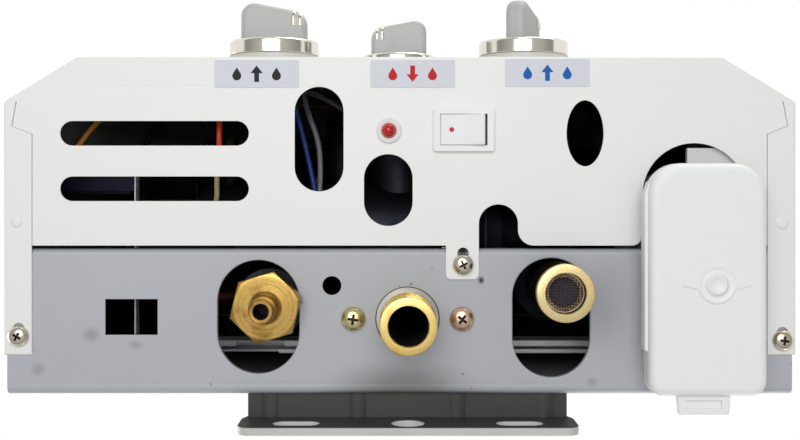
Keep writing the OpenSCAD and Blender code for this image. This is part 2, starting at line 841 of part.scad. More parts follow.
module burner_bars() {
    half_w = 5.5;
    neck = 3;
    wall = 1;
    port_w = 1.2;
    port_pitch = 3;
    mouth_r = 4.2;
    front = fire_front + sheet_t;
    l = fire_back - fire_front - 2 * sheet_t;
    section = function(d) [
        [-half_w + d, frame_top - 30], [-neck + d, frame_top - 38], [-neck + d, jet_z], [neck - d, jet_z],
        [neck - d, frame_top - 38], [half_w - d, frame_top - 30], [half_w - d, frame_top - 4 - d],
        [-half_w + d, frame_top - 4 - d]
    ];
    color("slategray") for (x = burner_xs()) difference() {
        translate([x, 0, 0]) along_y(front, l) union() {
            polygon(section(0));
            translate([0, jet_z]) circle(half_w);
        }
        translate([x, 0, 0]) along_y(front + wall, l - 2 * wall) union() {
            polygon(section(wall));
            translate([0, jet_z]) circle(half_w - wall);
        }
        rod_y([x, fire_front, jet_z], mouth_r, 30);
        for (s = [-1, 0, 1]) block(
            [x + s * port_pitch - port_w / 2, fire_front + 6, frame_top - 10],
            [x + s * port_pitch + port_w / 2, fire_back - 6, frame_top]
        );
    }
}

module gas_manifold() {
    span = (burner_count - 1) * burner_pitch + 24;
    feed_r = 7;
    wall = 1.2;
    lug_x = span / 2 - 4;
    tray_z = tower_top + 14;
    color("goldenrod") {
        difference() {
            block([x_mid - span / 2, manifold_y - manifold_half, jet_z - manifold_half],
                [x_mid + span / 2, manifold_y + manifold_half, jet_z + manifold_half]);
            block([x_mid - span / 2 + wall, manifold_y - manifold_half + wall, jet_z - manifold_half + wall],
                [x_mid + span / 2 - wall, manifold_y + manifold_half - wall, jet_z + manifold_half - wall]);
            for (x = burner_xs()) rod_y([x, manifold_y, jet_z], 2, manifold_half + 1);
            rod_z([tower_x, manifold_y, jet_z - manifold_half - 1], feed_r - wall, wall + 2);
        }
        bent_tube(
            [[tower_x, manifold_y, jet_z - manifold_half], [tower_x, manifold_y, tray_z],
                [tower_x, valve_y, tray_z], [tower_x, valve_y, tower_top]],
            feed_r, feed_r - wall, 12
        );
        for (s = [-1, 1])
            block([x_mid + s * lug_x - 4, manifold_y + manifold_half - eps, jet_z + 2],
                [x_mid + s * lug_x + 4, fire_front, jet_z + 4]);
    }
}

module injectors() {
    face = manifold_y + manifold_half;
    hex_h = 4;
    color("gold") for (x = burner_xs()) difference() {
        union() {
            translate([x, face, jet_z]) rotate([-90, 0, 0]) cylinder(d = 8, h = hex_h, $fn = 6);
            rod_y([x, face - 1.2, jet_z], 2, 2);
            rod_y([x, face + hex_h - eps, jet_z], 2.6, 5);
        }
        rod_y([x, manifold_y, jet_z], 0.8, 30);
    }
}

function electrode_xs() = [for (s = [-1, 1]) x_mid + s * burner_pitch / 2];

module electrodes() {
    color("ivory") for (x = electrode_xs()) {
        rod_y([x, fire_front - 12, electrode_z], ceramic_r, 22);
        block([x - 5, fire_front - 1, electrode_z - 5], [x + 5, fire_front, electrode_z + 8]);
        rod_y([x, fire_front + 10 - eps, electrode_z], 0.8, 16);
        rod_z([x, fire_front + 25.2, electrode_z], 0.8, 14);
    }
}

// Gas way

module gas_inlet_fitting() {
    hex_h = 7.6;
    nozzle_l = 14;
    tip_d = 8;
    face = underside - 8;
    color("goldenrod") translate([gas_x, gas_y, 0]) difference() {
        union() {
            rotate(43.4) translate([0, 0, face]) cylinder(d = gas_hex_af / cos(30), h = hex_h, $fn = 6);
            rod_z([0, 0, face + hex_h - eps], gas_stem_r, gas_stem_top - face - hex_h);
            translate([0, 0, face - nozzle_l]) rotate_extrude() polygon([
                [0, 0], [tip_d / 2 - 0.8, 0], [tip_d / 2, 0.8],
                [nozzle_d / 2 - 0.6, 6], [nozzle_d / 2 - 1.4, 6.4], [nozzle_d / 2 - 0.3, 9.6],
                [nozzle_d / 2, nozzle_l + eps], [0, nozzle_l + eps]
            ]);
        }
        rod_z([0, 0, face - nozzle_l - 1], nozzle_bore / 2, gas_stem_top + nozzle_l + 20);
    }
}

// Bore for a spindle, from in front of its gland to a little past its end
module spindle_bore(x) {
    from = boss_front - 4 * through;
    rod_y([x, from, knob_z], spindle_d / 2 + shaft_gap, spindle_end + through - from);
}

module gas_valve_body() {
    inlet_r = 13.5;
    inlet_z = underside + 10;
    tower_r = 11;
    tower_bore = 5.5;
    gland_r = 8;
    gland_l = 6;
    color("silver") difference() {
        union() {
            rod_x([gas_start, valve_y, knob_z], gas_body_r, gas_end - gas_start);
            rod_x([gas_start - 2, valve_y, knob_z], gas_body_r - 2, 4);
            for (x = [gas_knob_x, season_knob_x]) {
                rod_y([x, boss_front, knob_z], gas_boss_r, 40);
                rod_y([x, boss_front - gland_l, knob_z], gland_r, gland_l + 1);
            }
            rod_z([gas_x, gas_y, inlet_z], inlet_r, knob_z - inlet_z);
            rod_z([tower_x, valve_y, knob_z], tower_r, tower_top - knob_z);
            rod_z([tower_x, valve_y, tower_top - 5], tower_r + 4, 5);
            block([gas_end - 20, valve_y - 5, knob_z], [gas_end - 2, valve_y + 5, knob_z + gas_body_r + 2]);
            block([gas_start + 6, pan_front + 2, z_pan], [gas_start + 14, pan_front + 12, knob_z]);
        }
        for (x = [gas_knob_x, season_knob_x]) spindle_bore(x);
        rod_z([gas_x, gas_y, inlet_z - through], gas_stem_r + shaft_gap, gas_stem_top - inlet_z + through);
        rod_z([gas_x, gas_y, gas_stem_top - 1], gas_stem_r - 2.5, 14);
        rod_x([rod_start - rod_travel - through, valve_y, knob_z], rod_r + shaft_gap,
            gas_end - rod_start + rod_travel + 2 * through);
        rod_z([tower_x, valve_y, knob_z + 10], tower_bore, tower_top - knob_z - 9);
    }
}

module gas_solenoid() {
    coil_r = 14;
    coil_l = 26;
    coil_x = gas_start - 2 - coil_l;
    color("dimgray") {
        rod_x([coil_x, valve_y, knob_z], coil_r, coil_l);
        rod_x([coil_x - 6, valve_y, knob_z], 8, 7);
        for (s = [0, 1]) rod_x([coil_x + s * (coil_l - 2), valve_y, knob_z], coil_r + 1.5, 2);
    }
}

// Water way

// Tube with a thread's outer diameter at its lower end and a relieved neck above
module male_thread(bore, top) {
    end = underside - fitting_drop;
    lead = 1;
    relief = 0.6;
    run_out = end + lead + thread_l;
    difference() {
        union() {
            translate([0, 0, end]) cylinder(r1 = thread_d / 2 - lead, r2 = thread_d / 2, h = lead);
            rod_z([0, 0, end + lead - eps], thread_d / 2, thread_l + eps);
            rod_z([0, 0, run_out - eps], thread_d / 2 - relief, top - run_out + eps);
        }
        rod_z([0, 0, end - 1], bore / 2, top - end + 2);
    }
}

module water_inlet_fitting() {
    color("goldenrod") translate([inlet_x, inlet_y, 0]) male_thread(water_bore, valve_bottom);
}

module inlet_filter() {
    rim = 1.2;
    level = underside - fitting_drop + 4;
    dish_r = 14;
    rim_r = water_bore / 2 - shaft_gap;
    color("gray") translate([inlet_x, inlet_y, level]) {
        difference() {
            cylinder(r = rim_r, h = 3);
            translate([0, 0, -1]) cylinder(r = rim_r - rim, h = 6);
        }
        intersection() {
            cylinder(r = rim_r - rim + eps, h = 3);
            translate([0, 0, dish_r]) difference() {
                sphere(dish_r);
                sphere(dish_r - 0.8);
            }
        }
    }
}

module water_valve_body() {
    column_r = 14;
    arm = diaphragm_x + diaphragm_t + 6;
    color("goldenrod") difference() {
        union() {
            rod_z([inlet_x, inlet_y, valve_bottom], column_r, valve_top - valve_bottom);
            rod_x([diaphragm_x + diaphragm_t, valve_y, knob_z], valve_flange_r, 6);
            rod_x([arm - eps, valve_y, knob_z], 15, inlet_x - arm + 6);
            block([inlet_x - 8, valve_y, knob_z - 12], [inlet_x + 8, inlet_y, knob_z + 12]);
            rod_y([water_knob_x, boss_front, knob_z], gas_boss_r - 1, 40);
            rod_y([water_knob_x, boss_front - 6, knob_z], 8, 7);
            block([inlet_x, pan_front + 2, knob_z - 10], [inlet_x + 26, pan_front + 10, knob_z - 4]);
            block([inlet_x + 18, pan_front + 2, z_pan], [inlet_x + 26, pan_front + 10, knob_z - 4]);
        }
        rod_z([inlet_x, inlet_y, valve_bottom - 1], water_bore / 2, 20);
        rod_z([inlet_x, inlet_y, valve_top - 14], pipe_d / 2 - 1, 16);
        rod_x([diaphragm_x, valve_y, knob_z], chamber_r, diaphragm_t + 3);
        spindle_bore(water_knob_x);
        valve_screw_places() rod_x([0, 0, 0], 2, 20);
    }
}

module valve_screw_places() {
    for (a = [30 : 60 : 330])
        translate([cover_face, valve_y, knob_z] + 24.2 * [0, cos(a), sin(a)]) children();
}

module diaphragm() {
    color("black") difference() {
        rod_x([diaphragm_x, valve_y, knob_z], valve_flange_r, diaphragm_t);
        valve_screw_places() rod_x([0, 0, 0], 2, 20);
    }
}

module diaphragm_cover() {
    color("goldenrod") difference() {
        rod_x([cover_face, valve_y, knob_z], valve_flange_r, diaphragm_x - cover_face);
        rod_x([cover_face + 4, valve_y, knob_z], chamber_r, diaphragm_x - cover_face);
        rod_x([cover_face - 1, valve_y, knob_z], rod_r + shaft_gap, 10);
        valve_screw_places() rod_x([-1, 0, 0], 2, 20);
    }
}

module valve_screws() {
    color("gainsboro") valve_screw_places() {
        rod_x([-2.4, 0, 0], 3.2, 2.4);
        rod_x([-eps, 0, 0], 1.95, 17);
    }
}

module linkage_rod() {
    head_x = cover_face + 8;
    color("lightgray") {
        rod_x([rod_start, valve_y, knob_z], rod_r, head_x + 2 - rod_start);
        rod_x([head_x, valve_y, knob_z], rod_head_r, 2.4);
        rod_x([lever_x + 0.7, valve_y, knob_z], collar_r, 2);
    }
}

module microswitch() {
    left = gas_end - 20;
    bottom = knob_z + gas_body_r + 2;
    ear = 3.4;
    color("dimgray") difference() {
        union() {
            block([left, valve_y - 5, bottom], [gas_end + 4, valve_y + 5, bottom + 12]);
            for (s = [-1, 1]) block(
                [gas_end + 4 - eps, valve_y + s * 4.5 - 0.5, lever_pivot_z - 1.7],
                [gas_end + 4 + ear, valve_y + s * 4.5 + 0.5, lever_pivot_z + 1.7]
            );
            for (x = [left + 3, left + 9, left + 15])
                block([x, valve_y - 1.6, bottom + 12 - eps], [x + 0.8, valve_y + 1.6, bottom + 18]);
        }
        rod_y([lever_x, valve_y - 6, lever_pivot_z], 0.8 + shaft_gap, 12);
    }
}

module microswitch_lever() {
    color("lightgray") {
        block([lever_x - 0.4, valve_y - 3.4, knob_z + 2.5], [lever_x + 0.4, valve_y + 3.4, lever_pivot_z]);
        rod_y([lever_x, valve_y - 3.6, lever_pivot_z], 1.3, 7.2);
        rod_y([lever_x, valve_y - 5, lever_pivot_z], 0.8, 10);
    }
}

module cold_pipe() {
    riser = cold_end + riser_step;
    color("chocolate") bent_tube(
        [[inlet_x, inlet_y, valve_top], [inlet_x, inlet_y, pipe_run_z], [riser, inlet_y, pipe_run_z],
            [riser, cold_top_y, pipe_run_z], [riser, cold_top_y, tube_z], [cold_end, cold_top_y, tube_z]],
        pipe_d / 2, pipe_d / 2 - 1, pipe_bend
    );
}

module hot_pipe() {
    riser = hot_end - riser_step;
    color("chocolate") bent_tube(
        [[0, outlet_y, outlet_top], [0, outlet_y, pipe_run_z], [riser, outlet_y, pipe_run_z],
            [riser, outlet_y, tube_z], [hot_end, outlet_y, tube_z]],
        pipe_d / 2, pipe_d / 2 - 1, pipe_bend
    );
}

module pipe_nut(af) {
    difference() {
        cylinder(d = af / cos(30), h = 11, $fn = 6);
        translate([0, 0, -1]) cylinder(d = pipe_d + 2 * shaft_gap, h = 13);
    }
}

module pipe_nuts() {
    color("goldenrod") {
        translate([0, outlet_y, outlet_top]) pipe_nut(valve_nut_af);
        translate([inlet_x, inlet_y, valve_top]) pipe_nut(valve_nut_af);
        translate([cold_end, cold_top_y, tube_z]) rotate([0, 90, 0]) pipe_nut(tube_nut_af);
        translate([hot_end, outlet_y, tube_z]) rotate([0, -90, 0]) pipe_nut(tube_nut_af);
    }
}

module water_outlet_fitting() {
    flange_t = 6;
    color("goldenrod") translate([0, outlet_y, 0]) difference() {
        union() {
            male_thread(water_bore, outlet_top - 4);
            translate([0, 0, z_pan]) linear_extrude(flange_t) rotate(90)
                slot_2d(28, outlet_screw_pitch + 17);
            rod_z([0, 0, z_pan], 13, outlet_top - z_pan);
        }
        rod_z([0, 0, z_pan - through], water_bore / 2, outlet_top);
        for (p = outlet_screw_places())
            rod_z([p.x, p.y - outlet_y, z_pan - 1], m5_core / 2 + screw_play / 2, 12);
    }
}

module outlet_screws() {
    color("darkgoldenrod") for (p = outlet_screw_places())
        translate([p.x, p.y, underside]) screw_up(m5_head, m5_core, 8);
}

module thermal_cutout() {
    x = hot_end - riser_step;
    z = (frame_top + exchanger_bottom) / 2;
    grip_r = pipe_d / 2 + shaft_gap;
    color("black") {
        difference() {
            rod_z([x, outlet_y, z], grip_r + 1.2, 12);
            rod_z([x, outlet_y, z - 1], grip_r, 14);
        }
        rod_x([x + grip_r + 0.9, outlet_y, z + 6], 7.5, 6);
        for (s = [-1, 1]) block(
            [x + grip_r + 6.5, outlet_y + s * 4 - 1.6, z + 5.6],
            [x + grip_r + 13, outlet_y + s * 4 + 1.6, z + 6.4]
        );
    }
}

// Electrics

module ignition_module() {
    rib = 1.2;
    color("darkslategray") translate(module_at) {
        cube(module_size);
        for (i = [0 : 4])
            translate([4, module_size.y - eps, 8 + i * 11]) cube([module_size.x - 8, rib, 3]);
        translate([4, -rib, 6]) cube([module_size.x - 8, rib + eps, module_size.z - 12]);
    }
}

module led_holder() {
    color("white") translate([x_mid + led_at.x, y_front + led_at.y, 0]) difference() {
        union() {
            rod_z([0, 0, z_flap - 1.2], led_d / 2 + 2, 1.2);
            rod_z([0, 0, z_flap - eps], led_d / 2 + 1.1, 7);
        }
        rod_z([0, 0, 0], led_d / 2 + shaft_gap, 30);
    }
}

module led_lamp() {
    leg_x = 1.27;
    dome_z = z_flap - 1.6;
    color("red") translate([x_mid + led_at.x, y_front + led_at.y, 0]) {
        sphere_cap(dome_z);
        rod_z([0, 0, dome_z - eps], led_d / 2, 9);
        for (s = [-1, 1]) rod_z([s * leg_x, 0, dome_z + 9 - eps], 0.3, 7.5);
    }
}

module sphere_cap(z) {
    intersection() {
        translate([0, 0, z]) sphere(led_d / 2);
        translate([0, 0, z - led_d / 2]) cube([led_d + 1, led_d + 1, led_d], center = true);
    }
}

module switch_housing() {
    bezel_t = 2;
    well = [rocker_l + 2 * free_gap, rocker_w + 2 * free_gap];
    body_top = underside + 19;
    color("whitesmoke") translate([switch_x, switch_y, 0]) difference() {
        union() {
            translate([0, 0, z_flap - bezel_t]) linear_extrude(bezel_t)
                polygon(rounded(
                    rectangle([-switch_l / 2, -switch_w / 2], [switch_l / 2, switch_w / 2]),
                    [1.2, 1.2, 1.2, 1.2]
                ));
            block([-switch_body.x / 2, -switch_body.y / 2, z_flap - eps],
                [switch_body.x / 2, switch_body.y / 2, body_top]);
            for (s = [-1, 1]) block([s * 4 - 2.4, -0.4, body_top - eps], [s * 4 + 2.4, 0.4, body_top + 7]);
        }
        block([-well.x / 2, -well.y / 2, z_flap - bezel_t - 1], [well.x / 2, well.y / 2, underside + 7]);
        rod_y([0, -switch_body.y / 2 - 1, rocker_pivot_z], rocker_pin_r + shaft_gap, switch_body.y + 2);
    }
}

module switch_rocker() {
    half = rocker_l / 2 - 0.4;
    pin_l = rocker_w + 2 * free_gap + 1.4;
    color("white") translate([switch_x, switch_y, rocker_pivot_z]) rotate([0, rocker_tilt, 0]) {
        along_y(-rocker_w / 2, rocker_w) polygon(rounded(
            [[-half, -4.6], [0, -3.4], [half, -4.6], [half, -0.5], [4, 3.4], [-4, 3.4], [-half, -0.5]],
            [0.8, 8, 0.8, 0, 0, 0, 0]
        ));
        rod_y([0, -pin_l / 2, 0], rocker_pin_r, pin_l);
    }
}

// Battery compartment

module box_plan_2d(d) {
    polygon(rounded(
        rectangle([battery_x - box_half + d, box_front + d], [battery_x + box_half - d, box_back - d]),
        [lid_corner - d, lid_corner - d, 6 - d, 6 - d]
    ));
}

module battery_box() {
    ear_t = 2.4;
    ear_reach = 7;
    clip_z = underside + 2;
    pin_l = 4.5;
    eye_room = eye_w + 2 * free_gap;
    color("whitesmoke") difference() {
        union() {
            translate([0, 0, box_bottom]) linear_extrude(box_top - box_bottom) box_plan_2d(0);
            block([battery_x - box_half - ear_reach, pan_front + 3, z_pan],
                [battery_x + box_half + ear_reach, box_back - 4, z_pan + ear_t]);
            block([battery_x - 2, box_front - 9.5, clip_z], [battery_x + 19, box_front + 4, clip_z + ear_t]);
            for (s = [-1, 1]) {
                rod_x([battery_x + s * ear_half - 1.5, hinge_y, hinge_z], hinge_eye_r - 0.3, 3);
                block([battery_x + s * ear_half - 1.5, hinge_y, hinge_z - hinge_eye_r + 0.3],
                    [battery_x + s * ear_half + 1.5, box_front + 6, hinge_z + hinge_eye_r - 0.3]);
                rod_x([battery_x + (s > 0 ? ear_half : -ear_half - pin_l), hinge_y, hinge_z],
                    hinge_pin_r, pin_l);
            }
        }
        translate([0, 0, box_bottom - 1]) linear_extrude(box_top - box_bottom - 0.6) box_plan_2d(box_wall);
        for (s = [-1, 1])
            block([battery_x + s * hinge_half - eye_room / 2, box_front - 1, box_bottom - 1],
                [battery_x + s * hinge_half + eye_room / 2, box_front + box_wall + 1,
                    hinge_z + hinge_eye_r + free_gap]);
    }
}

module battery_lid() {
    skin = 1.6;
    edge = 2;
    wall_h = lid_top - lid_bottom - edge;
    tab_w = 19.8;
    tab_reach = 6.8;
    boss = [lid_x + 2.8, y_back - 43.1];
    arm_front = min(hinge_y - 1.6, lid_front + 1);
    arm_back = max(hinge_y + 1.6, lid_front + edge + 0.4);
    color("white") {
        difference() {
            hull() {
                translate([0, 0, lid_top - wall_h]) linear_extrude(wall_h) lid_plan_2d(0);
                translate([0, 0, lid_bottom]) linear_extrude(1) lid_plan_2d(edge);
            }
            translate([0, 0, lid_bottom + skin]) linear_extrude(lid_top - lid_bottom)
                lid_plan_2d(edge + 0.4);
        }
        translate([boss.x, boss.y, lid_bottom - 0.5]) linear_extrude(0.5 + eps) ring_2d(7, 6);
        rod_z([boss.x, boss.y, lid_bottom - 1.4], 3.5, 1.4 + eps);
        for (s = [-1, 1])
            block([boss.x + s * 9.4 - 2.8, boss.y - 1.4, lid_bottom - 0.5],
                [boss.x + s * 9.4 + 2.8, boss.y + 1.4, lid_bottom + eps]);
        difference() {
            block([lid_x - tab_w / 2, lid_back - 1, lid_top - 5.5],
                [lid_x + tab_w / 2, lid_back + tab_reach, lid_top - 2.5]);
            block([lid_x - tab_w / 2 + 3.4, lid_back + 1.8, lid_top - 6],
                [lid_x + tab_w / 2 - 3.4, lid_back + tab_reach - 1.8, lid_top - 4.8]);
        }
        for (s = [-1, 1]) difference() {
            union() {
                rod_x([battery_x + s * hinge_half - eye_w / 2, hinge_y, hinge_z], hinge_eye_r, eye_w);
                block([battery_x + s * hinge_half - eye_w / 2, hinge_y - 1.6, lid_top - 2],
                    [battery_x + s * hinge_half + eye_w / 2, hinge_y + 1.6, hinge_z]);
                block([battery_x + s * hinge_half - eye_w / 2, arm_front, lid_top - 2],
                    [battery_x + s * hinge_half + eye_w / 2, arm_back, lid_top]);
            }
            rod_x([battery_x + s * hinge_half - eye_w, hinge_y, hinge_z], hinge_pin_r + shaft_gap,
                2 * eye_w);
        }
    }
}

module lid_plan_2d(d) {
    polygon(rounded(
        rectangle([lid_x - lid_w / 2 + d, lid_front + d], [lid_x + lid_w / 2 - d, lid_back - d]),
        [lid_corner - d, lid_corner - d, lid_rear_corner - d, lid_rear_corner - d]
    ));
}

module batteries() {
    cap_r = 4.6;
    color("dimgray") for (y = cell_ys) {
        rod_z([battery_x, y, cell_z], cell_d / 2, cell_l - 1.5);
        rod_z([battery_x, y, cell_z + cell_l - 1.5 - eps], cap_r, 1.5);
    }
}

module battery_contacts() {
    plate_t = 0.6;
    lift = cell_z + cell_l;
    roof = box_top - box_wall - 0.1;
    color("silver") for (y = cell_ys) {
        rod_z([battery_x, y, lift], 4, roof - lift);
        translate([battery_x, y, roof - plate_t / 2]) cube([20, 20, plate_t], center = true);
    }
}

module lid_contact() {
    plate_t = 0.6;
    floor = lid_bottom + 1.6;
    color("silver") {
        block([battery_x - 9, cell_ys[0] - 8, floor], [battery_x + 9, cell_ys[1] + 8, floor + plate_t]);
        for (y = cell_ys) translate([battery_x, y, floor + plate_t - eps])
            cylinder(r1 = 8, r2 = 4, h = cell_z - free_gap - floor - plate_t);
    }
}

module wire_red() {
    color("firebrick") wire(route_red);
}

module wire_blue() {
    color("royalblue") wire(route_blue);
}

module wire_grey() {
    color("gray") wire(route_grey);
}

module wires_brown() {
    color("sienna") {
        wire(route_feed);
        wire(route_coil);
        wire(route_spark);
        wire(route_sense);
    }
}

// Knobs

// Puts a knob's own axes, with Z away from the panel and X along the pointer, on the front
module on_front(x, angle) {
    translate([x, y_front, knob_z]) rotate([90, 0, 0]) rotate(angle) children();
}

module knob_skirt(k) {
    color("whitesmoke") translate([0, 0, panel_gap]) difference() {
        cylinder(r = k[0] / 2 + 0.4, h = k[1] - panel_gap);
        translate([0, 0, -1]) cylinder(r = spindle_d / 2 + 1, h = k[1] + 2);
    }
}

// The pointer at the low end of a grip, and the room for it
module pointer_end(k, d, w) {
    reach = 0.24 * k[4];
    depth = 0.16 * k[4];
    low_end = k[3] - 0.19 * k[4];
    rotate([90, 0, 0]) translate([0, 0, -w / 2]) linear_extrude(w) intersection() {
        polygon(grip_side(k[4], k[1] + k[2] - 1, k[3], d));
        translate([reach, low_end - depth]) square([k[4], k[3]]);
    }
}

module knob_grip(k, tip) {
    base = k[1] + k[2] - 1;
    color("lightgray") difference() {
        union() {
            translate([0, 0, k[1]]) cylinder(r = k[0] / 2 - 1.6, h = base - k[1]);
            rotate([90, 0, 0]) translate([0, 0, -k[5] / 2]) linear_extrude(k[5])
                polygon(grip_side(k[4], base - eps, k[3], 0));
        }
        pointer_end(k, -0.5, k[5] + 1);
        translate([0, 0, -1]) cylinder(r = spindle_d / 2 + shaft_gap / 2, h = tip + 1.2);
    }
}

module knob_trim(k) {
    r = k[0] / 2;
    low = k[1];
    high = k[1] + k[2];
    color("wheat") {
        rotate_extrude() polygon(rounded(
            [[r - 1.6, low], [r, low], [r, high], [r - 1.6, high]], [0, 0.6, 1.2, 0.2]
        ));
        pointer_end(k, -pointer_proud, k[5] + 2 * pointer_proud);
    }
}

// Spindle from a knob to its valve, with a collar in front of the gland
module spindle(x, tip) {
    front = y_front - tip;
    color("silver") {
        rod_y([x, front, knob_z], spindle_d / 2, spindle_end - front);
        rod_y([x, boss_front - 8.4, knob_z], spindle_d / 2 + 1.5, 2);
    }
}

module gas_spindle() {
    spindle(gas_knob_x, spindle_tip);
}

module gas_knob() {
    on_front(gas_knob_x, 0) knob_grip(outer_knob, spindle_tip);
}

module gas_knob_trim() {
    on_front(gas_knob_x, 0) knob_trim(outer_knob);
}

module gas_knob_skirt() {
    on_front(gas_knob_x, 0) knob_skirt(outer_knob);
}

module season_spindle() {
    spindle(season_knob_x, small_spindle_tip);
}

module season_knob() {
    on_front(season_knob_x, 180) knob_grip(middle_knob, small_spindle_tip);
}

module season_knob_trim() {
    on_front(season_knob_x, 180) knob_trim(middle_knob);
}

module season_knob_skirt() {
    on_front(season_knob_x, 180) knob_skirt(middle_knob);
}

module water_spindle() {
    spindle(water_knob_x, spindle_tip);
}

module water_knob() {
    on_front(water_knob_x, water_knob_angle) knob_grip(outer_knob, spindle_tip);
}

module water_knob_trim() {
    on_front(water_knob_x, water_knob_angle) knob_trim(outer_knob);
}

module water_knob_skirt() {
    on_front(water_knob_x, water_knob_angle) knob_skirt(outer_knob);
}

front_cover();
flame_window();
back_panel();
bottom_plate();
lower_wall_bracket();
upper_wall_bracket();
bracket_rivets();
cover_screws();
outlet_screws();
flue_hood();
combustion_chamber();
heat_exchanger();
burner_frame();
burner_bars();
gas_manifold();
injectors();
electrodes();
gas_inlet_fitting();
gas_valve_body();
gas_solenoid();
water_inlet_fitting();
inlet_filter();
water_valve_body();
diaphragm();
diaphragm_cover();
valve_screws();
linkage_rod();
microswitch();
microswitch_lever();
cold_pipe();
hot_pipe();
pipe_nuts();
water_outlet_fitting();
thermal_cutout();
ignition_module();
led_holder();
led_lamp();
switch_housing();
switch_rocker();
battery_box();
battery_lid();
batteries();
battery_contacts();
lid_contact();
wire_red();
wire_blue();
wire_grey();
wires_brown();
gas_spindle();
gas_knob();
gas_knob_trim();
gas_knob_skirt();
season_spindle();
season_knob();
season_knob_trim();
season_knob_skirt();
water_spindle();
water_knob();
water_knob_trim();
water_knob_skirt();
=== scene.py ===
"""Looks of the wall-hung gas water heater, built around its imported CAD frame.

Sizes and places below are in millimetres; the scene and its meshes are in metres.
"""

import json
import math

import bmesh
import bpy
from mathutils import Matrix, Vector
from mathutils.bvhtree import BVHTree


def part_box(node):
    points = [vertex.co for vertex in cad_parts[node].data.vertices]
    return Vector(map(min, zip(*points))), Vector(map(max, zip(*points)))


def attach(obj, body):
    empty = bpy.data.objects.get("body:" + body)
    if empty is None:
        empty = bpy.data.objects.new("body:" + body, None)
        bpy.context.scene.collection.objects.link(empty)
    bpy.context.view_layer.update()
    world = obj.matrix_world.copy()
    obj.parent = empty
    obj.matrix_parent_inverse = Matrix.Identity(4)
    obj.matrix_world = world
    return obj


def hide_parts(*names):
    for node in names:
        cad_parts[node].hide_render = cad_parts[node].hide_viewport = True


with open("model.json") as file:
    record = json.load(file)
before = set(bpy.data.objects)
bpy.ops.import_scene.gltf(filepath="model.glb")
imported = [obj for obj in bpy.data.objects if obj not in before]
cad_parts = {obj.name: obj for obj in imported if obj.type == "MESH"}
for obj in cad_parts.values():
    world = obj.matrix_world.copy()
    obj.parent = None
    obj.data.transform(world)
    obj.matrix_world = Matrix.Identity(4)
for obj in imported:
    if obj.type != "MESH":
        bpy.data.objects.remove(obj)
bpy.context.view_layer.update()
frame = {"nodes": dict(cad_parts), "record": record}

MM = 0.001
NEAR = 0.01  # places closer than this count as one
CASING = "casing"
UP = Vector((0, 0, 1))
QUARTER = math.pi / 2
scene = bpy.context.scene


# Places taken from the frame

def box(node):
    """Lowest and highest corners of a node."""
    return [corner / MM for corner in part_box(node)]


def middle(corners):
    return (corners[0] + corners[1]) / 2


cover_low, cover_high = box("front_cover")
flap_z, front_y = cover_low.z, cover_low.y
casing_x = (cover_low.x + cover_high.x) / 2
underside = box("bottom_plate")[0].z
inlet_low, inlet_high = box("water_inlet_fitting")
thread_r = (inlet_high.x - inlet_low.x) / 2
fitting_end = inlet_low.z
inlet_at = middle((inlet_low, inlet_high))
outlet_at = middle(box("water_outlet_fitting"))
gas_at = middle(box("gas_inlet_fitting"))
lamp_at = middle(box("led_lamp"))


# Finishes

finishes = {}


class Socket:
    """An output of a finish's node, with the arithmetic that the finishes use."""

    def __init__(self, finish, socket):
        self.finish = finish
        self.socket = socket

    def math(self, operation, first, second=None):
        return self.finish.node("ShaderNodeMath", {"operation": operation}, {0: first, 1: second})

    def __add__(self, other):
        return self.math("ADD", self, other)

    def __sub__(self, other):
        return self.math("SUBTRACT", self, other)

    def __rsub__(self, other):
        return self.math("SUBTRACT", other, self)

    def __mul__(self, other):
        return self.math("MULTIPLY", self, other)

    def __abs__(self):
        return self.math("ABSOLUTE", self)

    __radd__ = __add__
    __rmul__ = __mul__


def tint(colour):
    """A display colour, 0 to 255, as the linear colour that a shader takes; a socket stays as it is."""
    def linear(value):
        value /= 255
        return value / 12.92 if value <= 0.04045 else ((value + 0.055) / 1.055) ** 2.4
    return colour if isinstance(colour, Socket) else (*map(linear, colour), 1)


